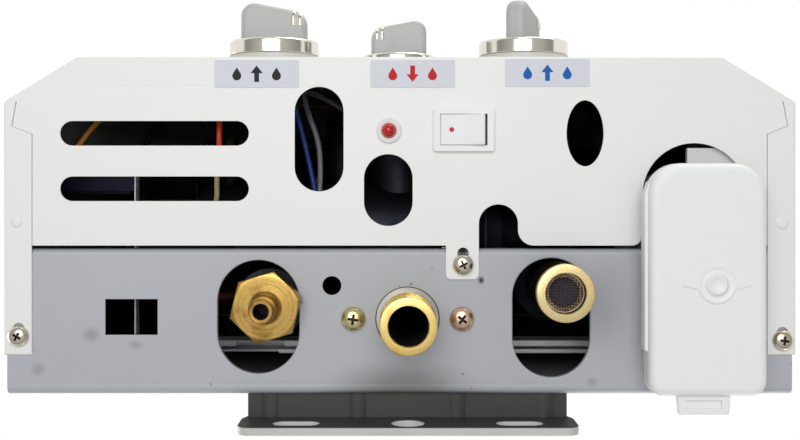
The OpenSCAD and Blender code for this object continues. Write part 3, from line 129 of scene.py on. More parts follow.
class Finish:
    """A procedural material that reads Object coordinates."""

    def __init__(self, name, **constants):
        finishes[name] = bpy.data.materials.new(name)
        finishes[name].use_nodes = True
        self.tree = finishes[name].node_tree
        self.tree.nodes.clear()
        end = self.tree.nodes.new("ShaderNodeOutputMaterial")
        self.shader = self.tree.nodes.new("ShaderNodeBsdfPrincipled")
        self.tree.links.new(self.shader.outputs[0], end.inputs["Surface"])
        for setting, value in constants.items():
            self.feed(setting.replace("_", " ").title().replace("Ior", "IOR"), value)
        self.where = self.node("ShaderNodeTexCoord", output="Object")

    def put(self, target, value):
        if isinstance(value, Socket):
            self.tree.links.new(value.socket, target)
        elif value is not None:
            target.default_value = value

    def feed(self, name, value):
        self.put(self.shader.inputs[name], value)

    def node(self, kind, settings=None, inputs=None, output=0):
        made = self.tree.nodes.new(kind)
        for name, value in (settings or {}).items():
            setattr(made, name, value)
        for name, value in (inputs or {}).items():
            self.put(made.inputs[name], value)
        return Socket(self, made.outputs[output])

    def mapped(self, scale=(1, 1, 1), centre=(0, 0, 0), turned=(0, 0, 0)):
        """Object coordinates in metres about a centre, stretched, then turned."""
        moved = self.node("ShaderNodeMapping", {"vector_type": "POINT"},
                          {"Vector": self.where, "Location": [-c * MM for c in centre]})
        return self.node("ShaderNodeMapping", {"vector_type": "POINT"},
                         {"Vector": moved, "Rotation": turned, "Scale": scale})

    def noise(self, scale, detail=2.0, roughness=0.5, where=None):
        return self.node("ShaderNodeTexNoise", None, {
            "Vector": where or self.where, "Scale": scale, "Detail": detail, "Roughness": roughness})

    def cells(self, scale):
        return self.node("ShaderNodeTexVoronoi", None, {"Vector": self.where, "Scale": scale}, "Distance")

    def rings(self, spacing, centre):
        """Lathe marks about the Z axis through a centre."""
        waves_per_metre = 20 / (2 * math.pi)
        return self.node("ShaderNodeTexWave", {"wave_type": "RINGS", "rings_direction": "Z"}, {
            "Vector": self.mapped(centre=centre), "Scale": 1 / (spacing * MM * waves_per_metre),
            "Distortion": 0.6, "Detail": 2.0, "Detail Scale": 2.0}, "Fac")

    def along(self, axis):
        """One coordinate, in millimetres."""
        return self.node("ShaderNodeSeparateXYZ", None, {0: self.mapped([1 / MM] * 3)}, "XYZ".index(axis))

    def distance(self, centre, radii):
        """Distance from a centre, counted in a radius along each axis."""
        return self.node("ShaderNodeVectorMath", {"operation": "LENGTH"},
                         {0: self.mapped([1 / (r * MM) for r in radii], centre)}, "Value")

    def spot(self, centre, radii):
        """A soft patch: 1 at its centre, 0 outside its radii."""
        return self.spread(self.distance(centre, radii), 0.1, 1.0, 1.0, 0.0)

    def core(self, centre, radius):
        """1 inside an upright cylinder."""
        return self.spread(self.distance(centre, (1, 1, math.inf)), radius - 0.1, radius + 0.1, 1.0, 0.0)

    def spread(self, value, low, high, to_low=0.0, to_high=1.0):
        return self.node("ShaderNodeMapRange", {"interpolation_type": "SMOOTHSTEP", "clamp": True}, {
            "Value": value, "From Min": low, "From Max": high, "To Min": to_low, "To Max": to_high})

    def mix(self, factor, first, second):
        return self.node("ShaderNodeMix", {"data_type": "RGBA"},
                         {0: factor, 6: tint(first), 7: tint(second)}, 2)

    def coat(self, colour, roughness, *bumps):
        """Feeds colour and roughness, and bumps given as height socket, strength and depth."""
        normal = None
        for height, strength, depth in bumps:
            normal = self.node("ShaderNodeBump", None, {
                "Height": height, "Strength": strength, "Distance": depth * MM, "Normal": normal})
        for name, value in (("Base Color", colour), ("Roughness", roughness), ("Normal", normal)):
            self.feed(name, value)


def enamel(name, colour, shade, specks, creases, smears_and_shades=()):
    """Stoved paint: a fine orange peel, a little unevenness, specks of dirt, creases, and darker patches
    that also serve as painted shade and painted shadow.
    """
    finish = Finish(name, coat_weight=0.1, coat_roughness=0.25)
    cloud = finish.noise(11, 3)
    smudge = finish.spread(finish.noise(34, 6, 0.62), 0.56, 0.82)
    dots = finish.spread(finish.cells(210), 0.1, 0.16, 1.0, 0.0)
    fleck = dots * finish.spread(finish.noise(60, 1), 0.62, 0.7)
    soiled_and_shaded = finish.mix(cloud * 0.45 + smudge * 0.3, colour, shade)
    patch_h = 4
    # Each patch mixes in a darker colour; some are painted shade and painted shadow
    for x, y, across, along, amount, soil_and_shade in smears_and_shades:
        patch = finish.spot((x, y, underside), (across, along, patch_h))
        soiled_and_shaded = finish.mix(patch * amount, soiled_and_shaded, soil_and_shade)
    folds = []
    half_w, fade = 1.1, 6
    for y, left, right in creases:
        x = finish.along("X")
        valley = finish.spread(abs(finish.along("Y") - y), 0, half_w, 1.0, 0.0)
        ends = finish.spread(x, left, left + fade) * finish.spread(x, right, right - fade)
        folds.append((1 - valley * ends, 0.5, 0.12))
    finish.coat(finish.mix(fleck * specks, soiled_and_shaded, (70, 66, 60)), cloud * 0.1 + smudge * 0.08 + 0.38,
                (finish.noise(950, 2), 0.14, 0.05), (finish.noise(60, 2), 0.08, 0.2), *folds)


def bracket_enamel(name, flange_y):
    """Grey paint on the bracket in a shaded and a lit copy: painted shade on the web in the recess, and a
    lighter, painted-lit tone on the flange at the wall.
    """
    finish = Finish(name)
    cloud = finish.noise(45, 4, 0.6)
    flange = finish.spread(finish.along("Y"), flange_y + 0.05, flange_y + 0.3)
    # Dark copy: painted shade on the web. Light copy: painted light on the flange
    shaded_web = finish.mix(cloud, (61, 60, 55), (49, 48, 44))
    lit_flange = finish.mix(cloud, (206, 206, 203), (186, 186, 182))
    finish.coat(finish.mix(flange, shaded_web, lit_flange), cloud * 0.15 + 0.36, (finish.noise(900, 2), 0.12, 0.05))


def panel_enamel(name, colour, shade, channel_y, channel_z, half_w):
    """Paint of the back panel, with the bare zinc channel that stands off it."""
    finish = Finish(name, coat_weight=0.1, coat_roughness=0.25)
    cloud = finish.noise(14, 4)
    half_h = 10
    channel = (finish.spread(finish.along("Y"), channel_y + 0.6, channel_y)
               * finish.spread(abs(finish.along("X") - casing_x), half_w, half_w - 1)
               * finish.spread(abs(finish.along("Z") - channel_z), half_h, half_h - 1))
    rolled = finish.noise(300, 3, where=finish.mapped((0.05, 1, 1)))
    zinc = finish.mix(rolled, (240, 240, 244), (214, 214, 220))
    finish.coat(finish.mix(channel, finish.mix(cloud, colour, shade), zinc), cloud * 0.12 + 0.34,
                (finish.noise(950, 2), 0.12, 0.05))


def turned_brass(name, centre, bright, dull, shaded_above=None):
    """Machined brass: lathe marks about the piece's axis, a dull film, and near-black painted shade on its
    upper part when asked for.
    """
    finish = Finish(name, metallic=1.0)
    feed = 0.35
    marks = finish.rings(feed, centre)
    film = finish.spread(finish.noise(95, 5, 0.6), 0.42, 0.75)
    metal = finish.mix(film, bright, dull)
    # Painted shade: the brass turns near-black above the given heights
    if shaded_above:
        metal = finish.mix(finish.spread(finish.along("Z"), *shaded_above), metal, (16, 12, 8))
    finish.coat(metal, film * 0.2 + marks * 0.06 + 0.2,
                (marks, 0.16, 0.03), (finish.noise(520, 3), 0.08, 0.04))


def drawn_metal(name, bright, dull, roughness, scale=180.0, stretch=(1, 1, 1), metallic=1.0, shaded_hollow=None,
                shadow_rim=None):
    """Rolled, drawn or cast metal: grain, uneven dullness, near-black painted shade with some oxide scale
    inside a hollow, and a painted shadow outside a rim.
    """
    finish = Finish(name, metallic=metallic)
    grain = finish.noise(scale, 4, 0.6, finish.mapped(stretch))
    film = finish.spread(finish.noise(28, 5, 0.62), 0.36, 0.74)
    metal = finish.mix(film * 0.8 + grain * 0.2, bright, dull)
    if shaded_hollow:
        # Painted shade, with some oxide scale: near-black inside the radius
        metal = finish.mix(finish.core(*shaded_hollow), metal, (16, 12, 10))
    if shadow_rim:
        # Painted shadow: dark outside the radius
        metal = finish.mix(finish.core(*shadow_rim), (78, 70, 56), metal)
    finish.coat(metal, film * 0.16 + grain * 0.14 + roughness, (grain, 0.14, 0.05))


def plated(name, bright, dull, roughness):
    """Bright plating with a faint haze and fine wiping scratches."""
    finish = Finish(name, metallic=1.0)
    haze = finish.noise(70, 4, 0.6)
    scratch = finish.noise(900, 2, where=finish.mapped((1, 1, 0.08), turned=(0.5, 0.9, 0.3)))
    finish.coat(finish.mix(haze, bright, dull), haze * 0.1 + scratch * 0.05 + roughness,
                (scratch, 0.04, 0.02))


def moulded(name, colour, shade, roughness, grain=1800.0, depth=0.03, gloss=0.0):
    """Moulded plastic: spark-eroded texture, flow marks and a little handling wear."""
    finish = Finish(name, coat_weight=gloss, coat_roughness=0.12)
    flow = finish.noise(17, 3)
    rub = finish.spread(finish.noise(120, 5, 0.65), 0.52, 0.8)
    finish.coat(finish.mix(flow * 0.6 + rub * 0.25, colour, shade), flow * 0.1 + rub * 0.1 + roughness,
                (finish.noise(grain, 2), 0.2, depth), (flow, 0.06, 0.3))


def heated_steel(name, low, high):
    """Chamber sheet with straw and blue heat tints that rise from the flames."""
    finish = Finish(name, metallic=1.0)
    waver = 50
    height = finish.spread(finish.along("Z") + finish.noise(24, 3) * waver, low, high)
    grain = finish.noise(420, 3, where=finish.mapped((1, 1, 0.06)))
    straw = finish.mix(height, (176, 146, 96), (120, 116, 134))
    finish.coat(finish.mix(finish.noise(40, 4), straw, (168, 164, 158)), grain * 0.2 + 0.3,
                (grain, 0.12, 0.04))


def lamp_lens(name):
    """Clear red lens, its red lighter and deeper in soft random patches."""
    finish = Finish(name, coat_weight=0.3, coat_roughness=0.06, ior=1.45)
    gather = finish.spread(finish.noise(260, 2), 0.3, 0.75)
    finish.coat(finish.mix(gather, (178, 8, 8), (208, 24, 18)), 0.14, (finish.noise(500, 1), 0.03, 0.03))


def window_pane(name):
    """Heat-proof glass with a smoky film."""
    finish = Finish(name, ior=1.5, transmission_weight=0.85)
    film = finish.noise(60, 4, 0.6)
    finish.coat(finish.mix(film, (120, 132, 138), (84, 88, 92)), finish.spread(film, 0.4, 0.8, 0.03, 0.18))


def cell_sleeve(name, bottom, top):
    """Battery sleeve: a dark body, a copper-coloured band near the cap, bare metal at both ends."""
    finish = Finish(name, coat_weight=0.5, coat_roughness=0.1)
    z = finish.along("Z")
    band_l, cap_l, blur = 16, 3, 0.1
    band, cap = (finish.spread(z, top - run - blur, top - run + blur) for run in (band_l, cap_l))
    base = finish.spread(z, bottom + 0.5, bottom + 0.3)
    scuff = finish.noise(160, 4, 0.6)
    sleeve = finish.mix(band, (34, 38, 48), (176, 116, 62))
    wrap = finish.mix(base, finish.mix(cap, sleeve, (190, 190, 188)), (206, 205, 200))
    finish.feed("Metallic", finish.spread(band + cap, 0.2, 0.9, 0.1, 0.9))
    finish.coat(finish.mix(scuff * 0.2, wrap, (90, 90, 90)), scuff * 0.15 + 0.22)


def wire_mesh(name, centre, radius):
    """Woven wire: a painted highlight on the sloping edge, and painted shade in the middle where the bore is
    behind it.
    """
    finish = Finish(name, metallic=1.0)
    speck = finish.noise(1500, 2, 0.7)
    # Painted highlight on the edge, and painted shade inside MESH_R
    edge = finish.mix(speck, (246, 230, 204), (200, 178, 150))
    inner = finish.mix(speck, (168, 160, 172), (70, 66, 76))
    finish.coat(finish.mix(finish.core(centre, radius), edge, inner), speck * 0.2 + 0.28)


def insulation(name, colour, shade):
    """Wire insulation with a soft sheen and slight colour drift."""
    finish = Finish(name)
    drift = finish.noise(90, 3)
    finish.coat(finish.mix(drift, colour, shade), drift * 0.15 + 0.3, (finish.noise(1500, 2), 0.1, 0.02))


def printed_card(name, colour, shade, gloss=0.1):
    """Coated label stock, or the ink on it."""
    finish = Finish(name, specular_ior_level=gloss)
    fibre = finish.noise(700, 3)
    finish.coat(finish.mix(fibre * 0.5 + finish.noise(30, 2) * 0.4, colour, shade), fibre * 0.15 + 0.35,
                (fibre, 0.06, 0.02))


# Radius of the strainer's level middle and of the painted shade on it
MESH_R = 5.4
CREASE_Y = front_y + 11.4
BRASS = (232, 206, 132), (196, 156, 80)
OLD_BRASS = (104, 86, 54), (62, 50, 32)
OLD_COPPER = (104, 66, 48), (58, 38, 30)
# Grey for darker patches and painted shade, and near-black for painted shade and a painted shadow, all on
# the pan
PATCH_AND_SHADE_GREY, PAINTED_SHADE_BLACK = (86, 82, 74), (20, 20, 26)

# Creases: Y, from X, to X. Smears and painted shade: X, Y, half width, half length, strength, colour
enamel("cover_paint", (238, 238, 236), (230, 230, 228), 0.0, [(CREASE_Y, -126, -29), (CREASE_Y, 58, 117)])
# On the pan: painted shade towards the rear fold (-2, -15) and beside the lid (76, -48); a painted contact
# shadow along the rear edge (0, -12.4); near-black painted shade where a small hole shows (27.9, -55.6) and
# under the tab's slot (20.9, -66.4); the other patches are darker tone only
enamel("chassis_paint", (181, 184, 190), (167, 169, 174), 0.5, [(-16.5, -150, 86)], [
    (-2, -15, 34, 13, 0.62, PATCH_AND_SHADE_GREY), (-120, -35, 5, 4, 0.35, PATCH_AND_SHADE_GREY), (-103, -31, 4, 2.5, 0.35, PATCH_AND_SHADE_GREY),
    (-140, -22, 4, 4, 0.3, PATCH_AND_SHADE_GREY), (70, -17, 3, 3, 0.3, PATCH_AND_SHADE_GREY), (27.9, -55.6, 1.7, 2.1, 1.0, PAINTED_SHADE_BLACK),
    (20.9, -66.4, 4.5, 4, 1.0, PAINTED_SHADE_BLACK), (0, -12.4, 66, 1.6, 0.9, PAINTED_SHADE_BLACK), (76, -48, 12, 26, 0.2, PATCH_AND_SHADE_GREY)])
panel_enamel("panel_paint", (140, 142, 148), (124, 126, 132), -20.8, 67.5, 146)
bracket_enamel("bracket_steel", -3)
turned_brass("outlet_brass", outlet_at, *BRASS)
# The inlet's thread is painted near-black, as shade, from just above its end
turned_brass("inlet_brass", inlet_at, (232, 212, 156), (206, 177, 112), (fitting_end + 1.2, fitting_end + 6))
turned_brass("gas_brass", gas_at, (182, 150, 84), (126, 92, 46))
heated_steel("chamber_steel", *(corner.z for corner in box("combustion_chamber")))
cell_sleeve("cell_wrap", *(corner.z for corner in box("batteries")))
wire_mesh("mesh_steel", inlet_at, MESH_R)
lamp_lens("lamp_red")
window_pane("window_glass")

for make, rows in (
        (plated, (
            ("screw_nickel", (236, 230, 214), (184, 172, 148), 0.16),
            ("screw_zinc", (238, 228, 184), (196, 180, 118), 0.2),
            ("screw_copper", (246, 220, 196), (204, 168, 138), 0.22),
            ("knob_chrome", (236, 233, 222), (214, 210, 196), 0.05))),
        (drawn_metal, (
            # Painted shadow on the flange outside where the pan's hole shows it
            ("flange_zinc", (186, 186, 186), (146, 144, 138), 0.3, 300, (1, 1, 1), 1, None,
             (outlet_at, 11.8)),
            ("channel_zinc", (244, 244, 246), (222, 222, 226), 0.35, 300, (0.05, 1, 1), 0.3),
            ("fitting_brass", *BRASS, 0.22, 260),
            ("pipe_copper", (196, 126, 86), (120, 68, 44), 0.26),
            ("tarnished_copper", *OLD_COPPER, 0.4),
            # Next two: near-black painted shade, with some oxide scale, inside the outlet's bore
            ("outlet_pipe", *OLD_COPPER, 0.4, 180, (1, 1, 1), 1, (outlet_at, 7.4)),
            ("nut_brass", *OLD_BRASS, 0.4, 180, (1, 1, 1), 1, (outlet_at, 9)),
            ("tarnished_brass", *OLD_BRASS, 0.4),
            ("stainless", (188, 186, 182), (150, 148, 144), 0.24, 420, (1, 1, 0.05)),
            ("sooted_steel", (58, 60, 66), (36, 37, 42), 0.5, 420, (0.2, 1, 1)),
            ("valve_alloy", (64, 68, 76), (40, 43, 50), 0.42, 650),
            ("valve_dark", (34, 36, 42), (20, 21, 26), 0.5, 650),
            ("rod_steel", (200, 200, 200), (150, 150, 150), 0.16, 500, (1, 0.1, 1)))),
        (moulded, (
            # Near-black painted shade for bores and behind the strainer
            ("bore_dark", (14, 11, 9), (24, 19, 14), 0.6, 400),
            # Near-black painted shade in screw recesses
            ("recess_dark", (30, 27, 22), (48, 42, 34), 0.5, 400),
            ("white_plastic", (241, 242, 242), (233, 234, 234), 0.42, 900, 0.02, 0.05),
            ("skirt_plastic", (208, 207, 200), (196, 195, 188), 0.42, 900, 0.02),
            ("bezel_plastic", (229, 228, 227), (222, 221, 219), 0.42, 900, 0.02),
            ("box_plastic", (222, 221, 219), (208, 207, 205), 0.36, 900, 0.02),
            ("knob_plastic", (188, 188, 186), (173, 173, 171), 0.4),
            ("dark_plastic", (34, 37, 46), (22, 24, 32), 0.48),
            ("navy_plastic", (14, 20, 60), (9, 14, 44), 0.6),
            ("rubber_black", (26, 26, 26), (40, 39, 38), 0.62, 700, 0.06),
            ("ceramic_white", (232, 228, 214), (206, 198, 180), 0.2, 500, 0.03, 0.4))),
        (insulation, (
            ("insulation_red", (255, 84, 48), (236, 62, 36)),
            ("insulation_blue", (44, 78, 168), (30, 54, 124)),
            ("insulation_grey", (170, 172, 178), (132, 134, 140)),
            ("insulation_brown", (236, 166, 66), (204, 132, 48)),
            ("insulation_cream", (250, 232, 170), (226, 202, 136)),
            ("insulation_black", (40, 40, 44), (26, 26, 30)))),
        (printed_card, (
            ("label_card", (219, 221, 229), (208, 210, 219), 0.3),
            ("ink_black", (38, 38, 42), (52, 52, 56)),
            ("ink_red", (206, 44, 48), (186, 38, 44)),
            ("ink_blue", (34, 106, 186), (28, 92, 168)),
            ("dot_red", (226, 60, 96), (206, 46, 84))))):
    for row in rows:
        make(*row)

own_finish = {"hot_pipe": "outlet_pipe", "pipe_nuts": "nut_brass",
              "ignition_module": "navy_plastic", "battery_box": "box_plastic",
              "back_panel": "panel_paint", "gas_manifold": "sooted_steel", "burner_frame": "sooted_steel",
              "burner_bars": "sooted_steel", "injectors": "tarnished_brass", "cold_pipe": "tarnished_copper",
              "water_valve_body": "valve_dark", "diaphragm_cover": "valve_dark"}
slot_of = {part["node"]: part["material_slot"] for part in frame["record"]["subparts"]}
for name, node in frame["nodes"].items():
    for material_slot in node.material_slots:
        material_slot.material = finishes[own_finish.get(name, slot_of[name])]


# Mesh helpers: lengths come in as millimetres

SHARP = math.radians(38)
WELD = 0.001 * MM


def placed(name, data):
    """A new object in the scene."""
    made = bpy.data.objects.new(name, data)
    scene.collection.objects.link(made)
    return made


def as_mesh(name, bm):
    """A mesh made of a bmesh, which is used up."""
    mesh = bpy.data.meshes.new(name)
    bm.to_mesh(mesh)
    bm.free()
    return mesh


def piece(name, bm, slot, replaced=None, finish=None, inlay=None, body=CASING):
    """Makes a finished object of a bmesh, in place, and puts it on its body."""
    for face in bm.faces:
        face.smooth = True
    for edge in bm.edges:
        edge.smooth = len(edge.link_faces) == 2 and edge.calc_face_angle(0) < SHARP
    made = placed(name, as_mesh(name, bm))
    for look in (finish or slot, inlay):
        if look:
            made.data.materials.append(finishes[look])
    made.modifiers.new("even_normals", "WEIGHTED_NORMAL").keep_sharp = True
    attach(made, body)
    if replaced:
        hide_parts(replaced)


def node_body(node):
    """The body that a CAD node rides on."""
    return next(body for body, nodes in frame["record"]["behaviour"]["bodies"].items() if node in nodes)


def merged_copy(node):
    """A node's mesh as a bmesh with its triangles joined into whole faces."""
    bm = bmesh.new()
    bm.from_mesh(frame["nodes"][node].data)
    bmesh.ops.remove_doubles(bm, verts=bm.verts, dist=2 * WELD)
    bmesh.ops.dissolve_limit(bm, angle_limit=math.radians(0.6), verts=bm.verts, edges=bm.edges)
    return bm


def at(vert):
    """A vertex's place."""
    return vert.co / MM


def shift(bm, way, verts=None):
    bmesh.ops.translate(bm, vec=Vector(way) * MM, verts=bm.verts if verts is None else verts)


def turn(bm, matrix, verts=None):
    bmesh.ops.rotate(bm, cent=(0, 0, 0), matrix=matrix, verts=bm.verts if verts is None else verts)


def soften(bm, width, edges=None, segments=2, limit=35):
    """Rounds the given edges, or all edges sharper than a limit in degrees."""
    if edges is None:
        edges = [e for e in bm.edges
                 if len(e.link_faces) == 2 and e.calc_face_angle(0) > math.radians(limit)]
    bmesh.ops.bevel(bm, geom=edges, offset=width * MM, offset_type="OFFSET", segments=segments,
                    profile=0.5, affect="EDGES", clamp_overlap=True, material=-1)


def refined(node, width, segments=2, limit=35, finish=None):
    """A CAD node with its edges rounded, in the node's place."""
    bm = merged_copy(node)
    soften(bm, width, None, segments, limit)
    piece(node + "_softened", bm, slot_of[node], node, finish or own_finish.get(node), body=node_body(node))


def islands(node):
    """Boxes of the separate solids of a node."""
    bm = merged_copy(node)
    left = set(bm.verts)
    boxes = []
    while left:
        reached = [left.pop()]
        group = []
        while reached:
            vert = reached.pop()
            group.append(at(vert))
            for edge in vert.link_edges:
                other = edge.other_vert(vert)
                if other in left:
                    left.remove(other)
                    reached.append(other)
        boxes.append((Vector(map(min, *group)), Vector(map(max, *group))))
    bm.free()
    return sorted(boxes, key=lambda corners: corners[0].x)


def lathe(bm, profile, centre=(0, 0), steps=64, base=0.0):
    """Spins a profile of radius and height over a base about the upright axis through a centre."""
    x, y = centre[0] * MM, centre[1] * MM
    verts = [bm.verts.new((x + r * MM, y, (base + z) * MM)) for r, z in profile]
    edges = [bm.edges.new(pair) for pair in zip(verts, verts[1:])]
    bmesh.ops.spin(bm, geom=verts + edges, cent=(x, y, 0), axis=UP,
                   angle=2 * math.pi, steps=steps, use_merge=True)
    bmesh.ops.remove_doubles(bm, verts=bm.verts, dist=WELD)
    bmesh.ops.recalc_face_normals(bm, faces=bm.faces)
    return bm


def prism(bm, points, low, high):
    """A plate with the given outline between two heights."""
    face = bm.faces.new([bm.verts.new((x * MM, y * MM, low * MM)) for x, y in points])
    raised = bmesh.ops.extrude_face_region(bm, geom=[face])["geom"]
    shift(bm, UP * (high - low), [g for g in raised if isinstance(g, bmesh.types.BMVert)])
    bmesh.ops.recalc_face_normals(bm, faces=bm.faces)
    return bm


def block(bm, size, centre=(0, 0, 0)):
    made = bmesh.ops.create_cube(bm, size=1)["verts"]
    bmesh.ops.scale(bm, vec=Vector(size) * MM, verts=made)
    shift(bm, centre, made)
    return made


def cut(bm, cutter, operation="DIFFERENCE"):
    """A new bmesh: bm with the cutter taken away, or what both share."""
    holders = []
    for source in (bm, cutter):
        holder = placed("blank", as_mesh("blank", source))
        for _ in range(2):
            holder.data.materials.append(None)
        holders.append(holder)
    carve = holders[0].modifiers.new("carve", "BOOLEAN")
    carve.object = holders[1]
    carve.operation = operation
    carve.solver = "EXACT"
    result = bmesh.new()
    result.from_object(holders[0], bpy.context.evaluated_depsgraph_get())
    for holder in holders:
        bpy.data.objects.remove(holder)
    return result


def join(bm, other):
    """Adds another bmesh to bm."""
    mesh = as_mesh("joined", other)
    bm.from_mesh(mesh)
    bpy.data.meshes.remove(mesh)


def tube(routes, radius):
    """Round bars along routes of points."""
    curve = bpy.data.curves.new("route", "CURVE")
    curve.dimensions = "3D"
    curve.bevel_depth = radius * MM
    curve.bevel_resolution = 3
    curve.use_fill_caps = True
    for route in routes:
        line = curve.splines.new("POLY")
        line.points.add(len(route) - 1)
        for target, point in zip(line.points, route):
            target.co = (*(Vector(point) * MM), 1)
    holder = placed("route", curve)
    bm = bmesh.new()
    bm.from_mesh(holder.evaluated_get(bpy.context.evaluated_depsgraph_get()).to_mesh())
    bpy.data.objects.remove(holder)
    return bm


def filleted(points, radii, steps=8):
    """A closed outline with its corners rounded."""
    outline = []
    for i, radius in enumerate(radii):
        before, here, after = (Vector(points[(i + k) % len(points)]) for k in (-1, 0, 1))
        if not radius:
            outline.append(here)
            continue
        back, on = (before - here).normalized(), (after - here).normalized()
        half = back.angle(on) / 2
        centre = here + (back + on).normalized() * radius / math.sin(half)
        start, end = (here + way * radius / math.tan(half) - centre for way in (back, on))
        outline += [centre + start.slerp(end, step / steps).normalized() * radius
                    for step in range(steps + 1)]
    return outline


def rounded_rectangle(low, high, radii, inset=0.0):
    """Corners go round from the low one; an inset takes its share of each radius."""
    left, near, right, far = low[0] + inset, low[1] + inset, high[0] - inset, high[1] - inset
    return filleted([(left, near), (right, near), (right, far), (left, far)], [r - inset for r in radii])


# Casing

FOLD_R = 1.9
SHEET_EDGE = 0.22
PAN_LIP = 1.5
# Middle, width and length of the pan's cut-outs round the gas hexagon and the water inlet
PAN_CUTS = ((gas_at.x - 3.4, -41.7, 31, 43), (inlet_at.x - 1.7, -41.4, 29.4, 45.2))


def wall_fold_edges(bm, level):
    """Edges where a tall wall meets the sheet at a level."""
    tall = 100

    def height(face):
        levels = [at(v).z for v in face.verts]
        return max(levels) - min(levels)
    return [e for e in bm.edges
            if all(abs(at(v).z - level) < NEAR for v in e.verts)
            and any(height(f) > tall for f in e.link_faces)
            and any(abs(f.normal.z) > 0.9 for f in e.link_faces)]


def dressed_cover():
    """Cover with rounded folds and edges; the open end of its tab's slot is moved a little."""
    bm = merged_copy("front_cover")
    tab_x = middle(islands("cover_screws")[1]).x
    slot_half, slot_from, slot_to, longer = 2.6, -72, -66, 2.1
    slot_end = [v for v in bm.verts if at(v).z < flap_z + 1 and abs(at(v).x - tab_x) < slot_half
                and slot_from < at(v).y < slot_to]
    shift(bm, (0, longer, 0), slot_end)
    for level in (flap_z, cover_high.z):
        soften(bm, FOLD_R, wall_fold_edges(bm, level), 4)
    soften(bm, SHEET_EDGE)
    piece("front_cover_folded", bm, "cover_paint", "front_cover")


def dressed_pan():
    """Pan with its cut-outs' rims turned in and its edges rounded."""
    bm = merged_copy("bottom_plate")
    rims = []
    margin = 0.3
    for x, y, width, length in PAN_CUTS:
        rims += [e for e in bm.edges
                 if all(abs(at(v).z - underside) < NEAR and abs(at(v).x - x) < width / 2 + margin
                        and abs(at(v).y - y) < length / 2 + margin for v in e.verts)
                 and e.calc_face_angle(0) > 1]
    soften(bm, PAN_LIP, rims, 4)
    soften(bm, SHEET_EDGE)
    piece("bottom_plate_folded", bm, "chassis_paint", "bottom_plate")


def seam_backing():
    """Laps of sheet behind the seams between the flap and the side strips."""
    half = (cover_high.x - cover_low.x) / 2
    corner_y = front_y + 17
    seam = [(half - 10.85, -69.2), (half - 10.85, corner_y + 12.3), (half - 3.15, corner_y + 9.3),
            (half - 4.85, corner_y + 0.6)]
    lap, lap_low, lap_high = 1.2, flap_z + 0.82, flap_z + 1.3
    bm = bmesh.new()
    for side in (-1, 1):
        near = [(casing_x + side * (x + lap), y + lap) for x, y in seam]
        far = [(casing_x + side * (x - lap), y - lap) for x, y in seam]
        prism(bm, near + far[::-1], lap_low, lap_high)
    piece("seam_laps", bm, "cover_paint")


def zinc_bars(name, edge, *bars):
    """Bare bars, each given from left to right, near to far and low to high."""
    bm = bmesh.new()
    for left, right, near, far, low, high in bars:
        block(bm, (right - left, far - near, high - low),
              ((left + right) / 2, (near + far) / 2, (low + high) / 2))
    soften(bm, edge)
    piece(name, bm, "chassis_paint", finish="channel_zinc")


seam_backing()
dressed_cover()
dressed_pan()
# Rolled edges of the channel on the back panel, seen through the cut-outs of the pan
zinc_bars("channel_lips", 0.15, *((*span, 59.75, 60.25) for span in (
    (-149.8, -72, -26.0, -23.6), (-51.5, 87.2, -26.0, -23.6), (-54, 87.2, -22.3, -20.7))))
# Rail from the back panel to the side of the ignition module: its edge shows in two openings
zinc_bars("module_rail", 0.1, (-110, -109.3, -100, -13.5, 36, 42))
for node, width in (("lower_wall_bracket", 0.5), ("upper_wall_bracket", 0.5), ("back_panel", 0.22),
                    ("flue_hood", 0.22)):
    refined(node, width)


# Screws

def cross_headed(name, corners, slot, replaced, finish, angle):
    """Pan-head screw with a cross recess, its head down."""
    low, high = corners
    radius = (high.x - low.x) / 2
    head = 0.68 * radius
    x, y, _ = middle(corners)
    shank = (high.z - low.z) / head
    crown = [(0, 0), (0.45, 0.03), (0.74, 0.16), (0.92, 0.42), (1, 0.78), (0.99, 1), (0.47, 1),
             (0.47, shank), (0, shank)]
    slit_size = (1.2 * radius, 0.27 * radius, 1.3 * head)
    taper = (0.45, 0.6, 1)
    bm = lathe(bmesh.new(), [(r * radius, z * head) for r, z in crown], (x, y), 48, low.z)
    for quarter in (0, QUARTER):
        cutter = bmesh.new()
        slit = block(cutter, slit_size)
        bmesh.ops.scale(cutter, vec=taper, verts=[v for v in slit if v.co.z > 0])
        turn(cutter, Matrix.Rotation(angle + quarter, 3, "Z"))
        shift(cutter, (x, y, low.z))
        # The recess faces take the second material, near-black painted shade
        for face in cutter.faces:
            face.material_index = 1
        bm = cut(bm, cutter)
    piece(name, bm, slot, replaced, finish, "recess_dark")


for node, slot, looks, angle, step in (
        ("cover_screws", "screw_nickel", ["screw_nickel"] * 3, 0.5, 0.6),
        ("outlet_screws", "screw_zinc", ["screw_zinc", "screw_copper"], 0.15, 0.5)):
    for index, corners in enumerate(islands(node)):
        cross_headed(f"{node[:-1]}_{index + 1}", corners, slot, None if index else node, looks[index],
                     angle + step * index)


# Water and gas fittings

PITCH = 1.814
THREAD_DEPTH = 1.16
THREAD_L = 22
BORE_R = 7.25


